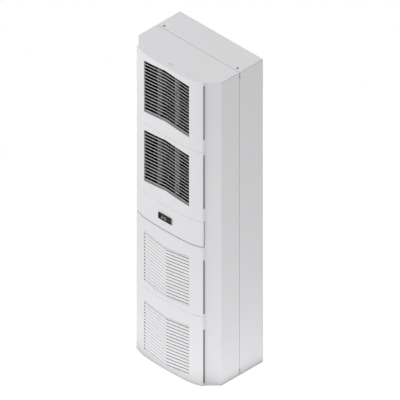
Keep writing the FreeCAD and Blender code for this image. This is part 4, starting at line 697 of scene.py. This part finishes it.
# Field trims: a soft angle profile on the edge of each field that lies next to the wide margin, dark
# under the outlets and pale over the intakes. Both greys are painted shade, darker than the cover.
# It is pressed over the edge and glued to the cover.
COVER_PITCH = 0.3615
INTAKE_TOP = 2 * COVER_PITCH
COVER_BASES = {"outlet_top": 1.2185, "outlet_lower": 0.857, "intake_upper": COVER_PITCH, "intake_lower": 0.0}
FIELD_HALF = 0.136
HEAD_Z = 0.291
HEAD_DROP = 0.017
# Both trim greys are painted shade.
TRIM_SHADE_DARK = (0.18, 0.18, 0.184, 1.0)
TRIM_SHADE_PALE = (0.606, 0.607, 0.618, 1.0)
TRIM_HALF = 0.1355
TRIM_STEPS = 48
TRIM_WIDTHS = {"outlet": 0.0085, "intake": 0.006}
TRIM_SEAT = 0.00002
TRIM_PROUD = 0.0005
TRIM_BEVEL = 0.0006
TRIM_LEG = 0.0026
TRIM_THICK = 0.00025
RAY_START = -0.3


def head_edge(across):
    return HEAD_Z - HEAD_DROP + across * (HEAD_DROP / FIELD_HALF)


def trim_section(width):
    """Corners of the profile: how far each is proud of the skin, and how far from the edge of the field."""
    return ((TRIM_SEAT, width), (0.4 * TRIM_PROUD, width), (TRIM_PROUD, width - TRIM_BEVEL),
            (TRIM_PROUD, TRIM_BEVEL / 2), (0.6 * TRIM_PROUD, -0.6 * TRIM_THICK), (0.0, -TRIM_THICK),
            (-TRIM_LEG, -TRIM_THICK), (-TRIM_LEG, -TRIM_SEAT), (TRIM_SEAT, -TRIM_SEAT))


def soft_profile(name, colour):
    finish, place = new_finish(name, Specular_IOR_Level=0.35)
    bloom = grain(place, size=0.012, detail=3.0)
    pores = grain(place, size=0.0005)
    bloom.tones(colour, 0.94, 1.06).feed("Base Color")
    (0.62 + 0.14 * pores).feed("Roughness")
    relief(place, pores, depth=0.00004)
    return finish


trim_finishes = {"outlet": soft_profile("dark_shade_profile", TRIM_SHADE_DARK),
                 "intake": soft_profile("pale_shade_profile", TRIM_SHADE_PALE)}
for cover_place, cover_node in AIR_COVERS.items():
    kind = cover_place.split("_")[0]
    width = TRIM_WIDTHS[kind]
    skin_shape = bmesh.new()
    skin_shape.from_mesh(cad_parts[cover_node].data)
    skin = BVHTree.FromBMesh(skin_shape)
    skin_shape.free()
    trim = bmesh.new()
    stations = []
    for step in range(TRIM_STEPS + 1):
        x = TRIM_HALF * (2 * step / TRIM_STEPS - 1)
        away = 1
        edge = COVER_BASES[cover_place] + head_edge(abs(x))
        if kind == "outlet":
            away = -1
            edge = COVER_BASES[cover_place] + COVER_PITCH - head_edge(abs(x))
        before = Vector((x, RAY_START, edge + away * width / 2))
        front = skin.ray_cast(before, Vector((0, 1, 0)))[0].y
        station = []
        for proud, inset in trim_section(width):
            station.append(trim.verts.new((x, front - proud, edge + away * inset)))
        stations.append(station)
    loft(trim, stations)
    field_trim = new_piece(cover_place + "_trim", trim, trim_finishes[kind],
                           cover_place + "_panel")
    smooth_by_angle(field_trim, degrees=30)


# Grilles: one moulding for each air cover, in the cover's plastic, with chevron slats in front of a rim
# and two ribs. Their grey is painted lighter than the cover's, as painted light. All that lies behind
# the slats is painted dark as shade, less on the sides of the ribs, and a little on the slat at the
# head of each intake.
# The grille's grey is the cover's grey painted 7 per cent lighter, as painted light on the slats.
GRILLE_LIT_GREY = tinted(LIGHT_GREY, 1.07)
GRILLE_SHADE = (0.15, 0.15, 0.154, 1.0)
TAIL_Y = -0.155
TAIL_BOW = 0.006
TAIL_UNSHADED = -0.0008
TAIL_SHADED = 0.0003
RIM_INSIDE = 0.1338
RIM_FRONT = -0.0022
RIM_SHADE = 0.75
RIB_X = 0.052
RIB_HALF = 0.0014
RIB_FRONT = -0.001
RIB_SIDE = 0.0005
RIB_BACK = 0.022
RIB_SHADE = 0.9
RIB_SIDE_LOSS = 0.25
RIB_BACK_GAIN = 0.3
HEAD_SLAT = 0.0067
HEAD_SHADE = 0.12


# Share of painted shade at each place on a grille.
def behind_slats(place):
    across = abs(along(place, "X"))
    level = along(place, "Z")
    depth = along(place, "Y") - (TAIL_Y - TAIL_BOW) - across * (TAIL_BOW / FIELD_HALF)
    tail = place.node("MapRange", {}, {"Value": depth, "From Min": TAIL_UNSHADED, "From Max": TAIL_SHADED})
    on_rim = (across > RIM_INSIDE) * (depth > RIM_FRONT)
    behind = place.math("MAXIMUM", tail, RIM_SHADE * on_rim)
    on_rib = abs(across - RIB_X) < RIB_HALF
    rib_shade = RIB_SHADE - RIB_SIDE_LOSS * (depth > RIB_SIDE) + RIB_BACK_GAIN * (depth > RIB_BACK)
    rib_shade = (depth > RIB_FRONT) * rib_shade
    under_head = head_edge(across) - place.math("MODULO", level, COVER_PITCH) < HEAD_SLAT
    on_head_slat = under_head * (level < INTAKE_TOP)
    return place.math("MAXIMUM", behind + on_rib * (rib_shade - behind), HEAD_SHADE * on_head_slat)


grille_plastic = moulded_grey("grille_plastic", GRILLE_LIT_GREY, GRILLE_SHADE, behind_slats)
dress(grille_plastic, "outlet_grille_top", "outlet_grille_lower",
      "intake_grille_upper", "intake_grille_lower")


# Filter mats: 10 mm of open-cell foam behind each intake grille, cut a little oversize and pressed
# in, so that its edges are rounded and its faces are not quite flat.
FILTER_GREY = (0.05, 0.05, 0.055, 1.0)
FILTER_STEPS = 40
FILTER_ROUND = 0.004
FILTER_EDGE = 0.45
FILTER_WAVE = 0.0003
WAVE_SLANT = (9, 2)
WAVE_RISE = 7


def open_foam(name, colour):
    finish, place = new_finish(name, Specular_IOR_Level=0.2)
    strut = place.node("TexVoronoi", {"feature": "DISTANCE_TO_EDGE"}, {"Vector": place, "Scale": 480.0})
    pore = strut.node("ValToRGB", {"stops": ((0.04, WHITE), (0.2, BLACK))}, {"Fac": strut})
    pore = pore.node("RGBToBW", {}, {"Color": pore})
    pore.tones(colour, 0.25, 1.4).feed("Base Color")
    (0.92 - 0.1 * pore).feed("Roughness")
    relief(place, pore, depth=0.0006)
    return finish


def pressed_sheet(shape, low, high, face_sign):
    """Rows of points over one face of a mat, closer together towards its rounded edges."""
    centre = (low + high) / 2
    half = (high - low) / 2
    shares = [math.sin(math.pi / 2 * (2 * step / FILTER_STEPS - 1)) for step in range(FILTER_STEPS + 1)]
    sheet = []
    for up in shares:
        line = []
        for across in shares:
            edge = min(half.x * (1 - abs(across)), half.z * (1 - abs(up)))
            full = min(1.0, edge / FILTER_ROUND)
            thick = half.y * (FILTER_EDGE + (1 - FILTER_EDGE) * math.sqrt(max(0.0, 1 - (1 - full) ** 2)))
            slant = math.sin(WAVE_SLANT[0] * across + WAVE_SLANT[1] * up)
            wave = FILTER_WAVE * slant * math.sin(WAVE_RISE * up)
            y = centre.y + face_sign * (thick - FILTER_WAVE) + wave * full
            line.append(shape.verts.new((centre.x + half.x * across, y, centre.z + half.z * up)))
        sheet.append(line)
    return sheet


filter_foam = open_foam("filter_foam", FILTER_GREY)
for level_name in ("upper", "lower"):
    low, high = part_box("intake_filter_" + level_name)
    mat = bmesh.new()
    rims = []
    for face_sign in (-1, 1):
        sheet = pressed_sheet(mat, low, high, face_sign)
        for line, above in zip(sheet, sheet[1:]):
            for column in range(FILTER_STEPS):
                mat.faces.new((line[column], line[column + 1], above[column + 1], above[column]))
        base = sheet[0][:-1]
        right = [line[-1] for line in sheet[:-1]]
        top = sheet[-1][:0:-1]
        left = [line[0] for line in sheet[:0:-1]]
        rims.append(base + right + top + left)
    loft(mat, rims, capped=False)
    filter_mat = new_piece("filter_mat_" + level_name, mat, filter_foam,
                           "intake_" + level_name + "_panel")
    smooth_by_angle(filter_mat, degrees=50)
    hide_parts("intake_filter_" + level_name)


# Controller: a mid-grey bezel and body snapped into the middle cover, under a smoked acrylic window
# that covers its whole face. The bezel's rim and its upper face are printed black.
BEZEL_GREY = (0.3, 0.305, 0.315, 1.0)
BEZEL_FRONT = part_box("controller_housing")[0].y
BEZEL_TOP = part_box("controller_housing")[1].z
PRINT_BLACK = (0.012, 0.012, 0.013, 1.0)
PRINT_LAP = 0.0003
WINDOW_BLACK = (0.006, 0.006, 0.007, 1.0)


def satin_bezel(name, colour):
    finish, place = new_finish(name)
    eroded = grain(place, size=0.0005, detail=3.0)
    flow = grain(place, size=0.02, detail=3.0)
    printed = place.math("MAXIMUM", along(place, "Y") < BEZEL_FRONT + PRINT_LAP,
                         along(place, "Z") > BEZEL_TOP - PRINT_LAP)
    printed.blend(flow.tones(colour, 0.93, 1.07), PRINT_BLACK).feed("Base Color")
    (0.42 + 0.14 * eroded).feed("Roughness")
    relief(place, eroded, depth=0.00003)
    return finish


def smoked_window(name, colour):
    finish, place = new_finish(name, Specular_IOR_Level=0.06)
    smear = grain(place, size=0.012, detail=5.0)
    smear.tones(colour, 0.8, 1.5).feed("Base Color")
    (0.06 + 0.16 * smear).feed("Roughness")
    return finish


dress(satin_bezel("satin_bezel", BEZEL_GREY), "controller_housing")
dress(smoked_window("smoked_window", WINDOW_BLACK), "display_lens")


# Read-out: three seven-segment figures with a point, let into the window and flush with it. Each bar is
# a moulded light pipe with pointed ends, pale grey-white when lit.
READOUT_GREY = (0.5, 0.5, 0.51, 1.0)
READOUT = "245"
FIGURE_BARS = {"2": "abged", "4": "fgbc", "5": "afgcd"}
FIGURE_HEIGHT = 0.0125
FIGURE_WIDTH = 0.0068
FIGURE_PITCH = 0.0102
FIGURE_LEFT = -0.0205
FIGURE_SLANT = math.tan(math.radians(7))
BAR_WIDTH = 0.0019
BAR_GAP = 0.0003
POINT_RADIUS = 0.0009
POINT_BACK = 0.0021
POINT_STEPS = 8
FIGURE_PROUD = 0.00008
FIGURE_SUNK = 0.0003
LENS_LOW, LENS_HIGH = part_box("display_lens")
FIGURE_FOOT = (LENS_LOW.z + LENS_HIGH.z) / 2 - FIGURE_HEIGHT / 2
FIGURE_FRONT = LENS_LOW.y - FIGURE_PROUD
FIGURE_BACK = LENS_LOW.y + FIGURE_SUNK


def lit_bar(name, colour):
    finish, place = new_finish(name, Emission_Strength=0.12, Roughness=0.4)
    cloud = grain(place, size=0.0025, detail=3.0)
    glow = cloud.tones(colour, 0.85, 1.1)
    glow.feed("Base Color")
    glow.feed("Emission Color")
    return finish


def prism(shape, outline, front, back):
    """A closed slab between two y levels from an outline of (x, z) points."""
    near = [shape.verts.new((x, front, z)) for x, z in outline]
    far = [shape.verts.new((x, back, z)) for x, z in outline]
    loft(shape, (near, far))


def figure_bars(shape, bars, left):
    """Adds the bars of one figure, each a slanted hexagon between two of the figure's six corners."""
    low, middle, high = 0, FIGURE_HEIGHT / 2, FIGURE_HEIGHT
    width = FIGURE_WIDTH
    ends = {"a": ((0, high), (width, high)), "b": ((width, high), (width, middle)),
            "c": ((width, middle), (width, low)), "d": ((0, low), (width, low)),
            "e": ((0, middle), (0, low)), "f": ((0, high), (0, middle)),
            "g": ((0, middle), (width, middle))}
    for bar in bars:
        start, end = (Vector(corner) for corner in ends[bar])
        forward = (end - start).normalized()
        aside = Vector((-forward.y, forward.x)) * BAR_WIDTH / 2
        inner = forward * BAR_WIDTH / 2
        start = start + forward * BAR_GAP
        end = end - forward * BAR_GAP
        outline = (start, start + inner + aside, end - inner + aside,
                   end, end - inner - aside, start + inner - aside)
        slanted = [(left + spot.x + FIGURE_SLANT * spot.y, FIGURE_FOOT + spot.y) for spot in outline]
        prism(shape, slanted, FIGURE_FRONT, FIGURE_BACK)


figures = bmesh.new()
for count, figure in enumerate(READOUT):
    figure_bars(figures, FIGURE_BARS[figure], FIGURE_LEFT + count * FIGURE_PITCH)
point_x = FIGURE_LEFT + 2 * FIGURE_PITCH - POINT_BACK
point = []
for step in range(POINT_STEPS):
    turn = 2 * math.pi * step / POINT_STEPS
    point.append((point_x + POINT_RADIUS * math.cos(turn), FIGURE_FOOT + POINT_RADIUS * math.sin(turn)))
prism(figures, point, FIGURE_FRONT, FIGURE_BACK)
new_piece("readout", figures, lit_bar("lit_bar", READOUT_GREY), "cabinet")


# Keys: three caps moulded in a black soft-touch plastic, which stand just proud of the window. Each has
# a pale printed mark: a ring to set, and arrows down and up.
KEY_BLACK = (0.02, 0.02, 0.022, 1.0)
MARK_GREY = (0.4, 0.4, 0.41, 1.0)
MARK_SIZE = 0.0017
MARK_HOLE = 0.55 * MARK_SIZE
MARK_STEPS = 16
MARK_PROUD = 0.00002
MARK_SUNK = 0.0002
ARROW_FOOT = 0.6


def soft_touch(name, colour):
    finish, place = new_finish(name, Specular_IOR_Level=0.35)
    dapple = grain(place, size=0.0006, detail=3.0)
    dapple.tones(colour, 0.85, 1.3).feed("Base Color")
    (0.6 + 0.15 * dapple).feed("Roughness")
    relief(place, dapple, depth=0.00003)
    return finish


dress(soft_touch("soft_touch", KEY_BLACK), "key_set", "key_down", "key_up")
mark_print = soft_touch("mark_print", MARK_GREY)
for key in ("set", "down", "up"):
    low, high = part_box("key_" + key)
    x = (low.x + high.x) / 2
    z = (low.z + high.z) / 2
    outlines = []
    if key == "set":
        turns = [2 * math.pi * step / MARK_STEPS for step in range(MARK_STEPS)]
        for turn, after in zip(turns, turns[1:] + turns[:1]):
            corners = ((MARK_SIZE, turn), (MARK_SIZE, after), (MARK_HOLE, after), (MARK_HOLE, turn))
            outlines.append([(x + reach * math.cos(at), z + reach * math.sin(at)) for reach, at in corners])
    else:
        rise = MARK_SIZE if key == "up" else -MARK_SIZE
        foot = z - ARROW_FOOT * rise
        outlines.append([(x - MARK_SIZE, foot), (x + MARK_SIZE, foot), (x, z + rise)])
    mark = bmesh.new()
    for outline in outlines:
        prism(mark, outline, low.y - MARK_PROUD, low.y + MARK_SUNK)
    new_piece("mark_" + key, mark, mark_print, "key_" + key + "_cap")


# Studio: a plain white floor, lit from below in a band round the object, that keeps a faint shadow.
# An even sky and soft boxes light the object, and the camera has an isometric view.
FLOOR_HALF = 1.6
FLOOR_DROP = 0.0005
FLOOR_GREY = (0.5, 0.5, 0.5, 1.0)
FLOOR_UNDER = (0.02, 0.02, 0.02, 1.0)
FLOOR_NEAR = (0.94, 0.94, 0.94, 1.0)
FLOOR_SHADOW = (0.1, 0.1, 0.1, 1.0)
FADE_START = 0.3
FADE_END = 0.8
BAND_INNER = 0.025
BAND_OUTER = 0.45
BAND_GLOW = 0.584
SKY_LIGHT = (0.36, 0.36, 0.36, 1.0)
ISO_TILT = math.asin(math.tan(math.radians(30)))
CAMERA_AIM = Vector((0.00645, 0.03445, 0.790))
CAMERA_REACH = 6.0
CAMERA_RANGE = 50.0
VIEW_WIDTH = 1.7058


def light_path(tree):
    """1 for the rays that should see the white backdrop, and 0 for those that light the object."""
    path = Shade(tree, None)
    camera = path.node("LightPath", out="Is Camera Ray")
    glossy = path.node("LightPath", out="Is Glossy Ray")
    through = path.node("LightPath", out="Is Transmission Ray")
    return camera.math("MAXIMUM", camera.math("MAXIMUM", camera, glossy), through)


floor_shape = bmesh.new()
bmesh.ops.create_grid(floor_shape, x_segments=8, y_segments=8, size=FLOOR_HALF)
floor_mesh = bpy.data.meshes.new("floor")
floor_shape.to_mesh(floor_mesh)
floor_shape.free()
floor = bpy.data.objects.new("floor", floor_mesh)
floor.location.z = -FLOOR_DROP
bpy.context.scene.collection.objects.link(floor)
floor_paint = bpy.data.materials.new("floor_paint")
floor_paint.use_nodes = True
floor_tree = floor_paint.node_tree
floor_tree.nodes.clear()
seen = light_path(floor_tree)
spot = seen.node("TexCoord", out="Object")
away = spot.math("MAXIMUM", abs(along(spot, "X")) - cad_box[1][0], abs(along(spot, "Y")) - PLATE_OUT)
clear = away > BAND_INNER
band = clear * (away < BAND_OUTER)
bounce = seen.node("BsdfDiffuse", {}, {"Color": clear.blend(FLOOR_UNDER, FLOOR_GREY)})
shine = seen.node("Emission", {}, {"Color": band.blend(BLACK, WHITE), "Strength": BAND_GLOW})
lighting = seen.node("AddShader", {}, {0: bounce, 1: shine})
fade = away.node("MapRange", {}, {"Value": away, "From Min": FADE_START, "From Max": FADE_END})
white = seen.node("Emission", {}, {"Color": fade.blend(FLOOR_NEAR, WHITE), "Strength": 1.0})
shadow = seen.node("BsdfDiffuse", {}, {"Color": FLOOR_SHADOW})
shown = seen.node("AddShader", {}, {0: white, 1: shadow})
mixed = seen.node("MixShader", {}, {0: seen, 1: lighting, 2: shown})
floor_output = floor_tree.nodes.new("ShaderNodeOutputMaterial")
floor_tree.links.new(mixed.socket, floor_output.inputs["Surface"])
floor_mesh.materials.append(floor_paint)

world = bpy.data.worlds.new("studio")
bpy.context.scene.world = world
world.use_nodes = True
world.node_tree.nodes.clear()
seen = light_path(world.node_tree)
sky = seen.node("Background", {}, {"Color": SKY_LIGHT, "Strength": 1.0})
backdrop = seen.node("Background", {}, {"Color": WHITE, "Strength": 1.0})
mixed = seen.node("MixShader", {}, {0: seen, 1: sky, 2: backdrop})
world_output = world.node_tree.nodes.new("ShaderNodeOutputWorld")
world.node_tree.links.new(mixed.socket, world_output.inputs["Surface"])


def soft_box(name, place, aim_z, width, height, power):
    lamp = bpy.data.lights.new(name, "AREA")
    lamp.shape = "RECTANGLE"
    lamp.size = width
    lamp.size_y = height
    lamp.energy = power
    holder = bpy.data.objects.new(name, lamp)
    holder.location = place
    holder.rotation_euler = (Vector((0, 0, aim_z)) - Vector(place)).to_track_quat("-Z", "Y").to_euler()
    holder.visible_camera = False
    bpy.context.scene.collection.objects.link(holder)


soft_box("key_light", place=(-1.6, -3.2, 2.4), aim_z=0.8, width=2.4, height=2.4, power=87.6)
soft_box("right_fill", place=(3.5, -0.2, 1.2), aim_z=0.8, width=2.4, height=2.0, power=35.5)
soft_box("top_light", place=(0.0, 0.0, 4.2), aim_z=0.8, width=2.4, height=2.4, power=23.9)
soft_box("low_light", place=(1.2, -1.2, 0.16), aim_z=0.16, width=1.4, height=0.25, power=3.6)
soft_box("back_light", place=(-1.6, 3.4, 2.2), aim_z=0.8, width=2.4, height=2.4, power=30.0)

camera_data = bpy.data.cameras.new("camera")
camera_data.type = "ORTHO"
camera_data.ortho_scale = VIEW_WIDTH
camera_data.clip_end = CAMERA_RANGE
camera = bpy.data.objects.new("camera", camera_data)
level_share = math.cos(ISO_TILT) / math.sqrt(2)
toward = Vector((level_share, -level_share, math.sin(ISO_TILT)))
camera.location = CAMERA_AIM + toward * CAMERA_REACH
camera.rotation_euler = (-toward).to_track_quat("-Z", "Y").to_euler()
bpy.context.scene.collection.objects.link(camera)
bpy.context.scene.camera = camera
bpy.context.scene.view_settings.view_transform = "Standard"
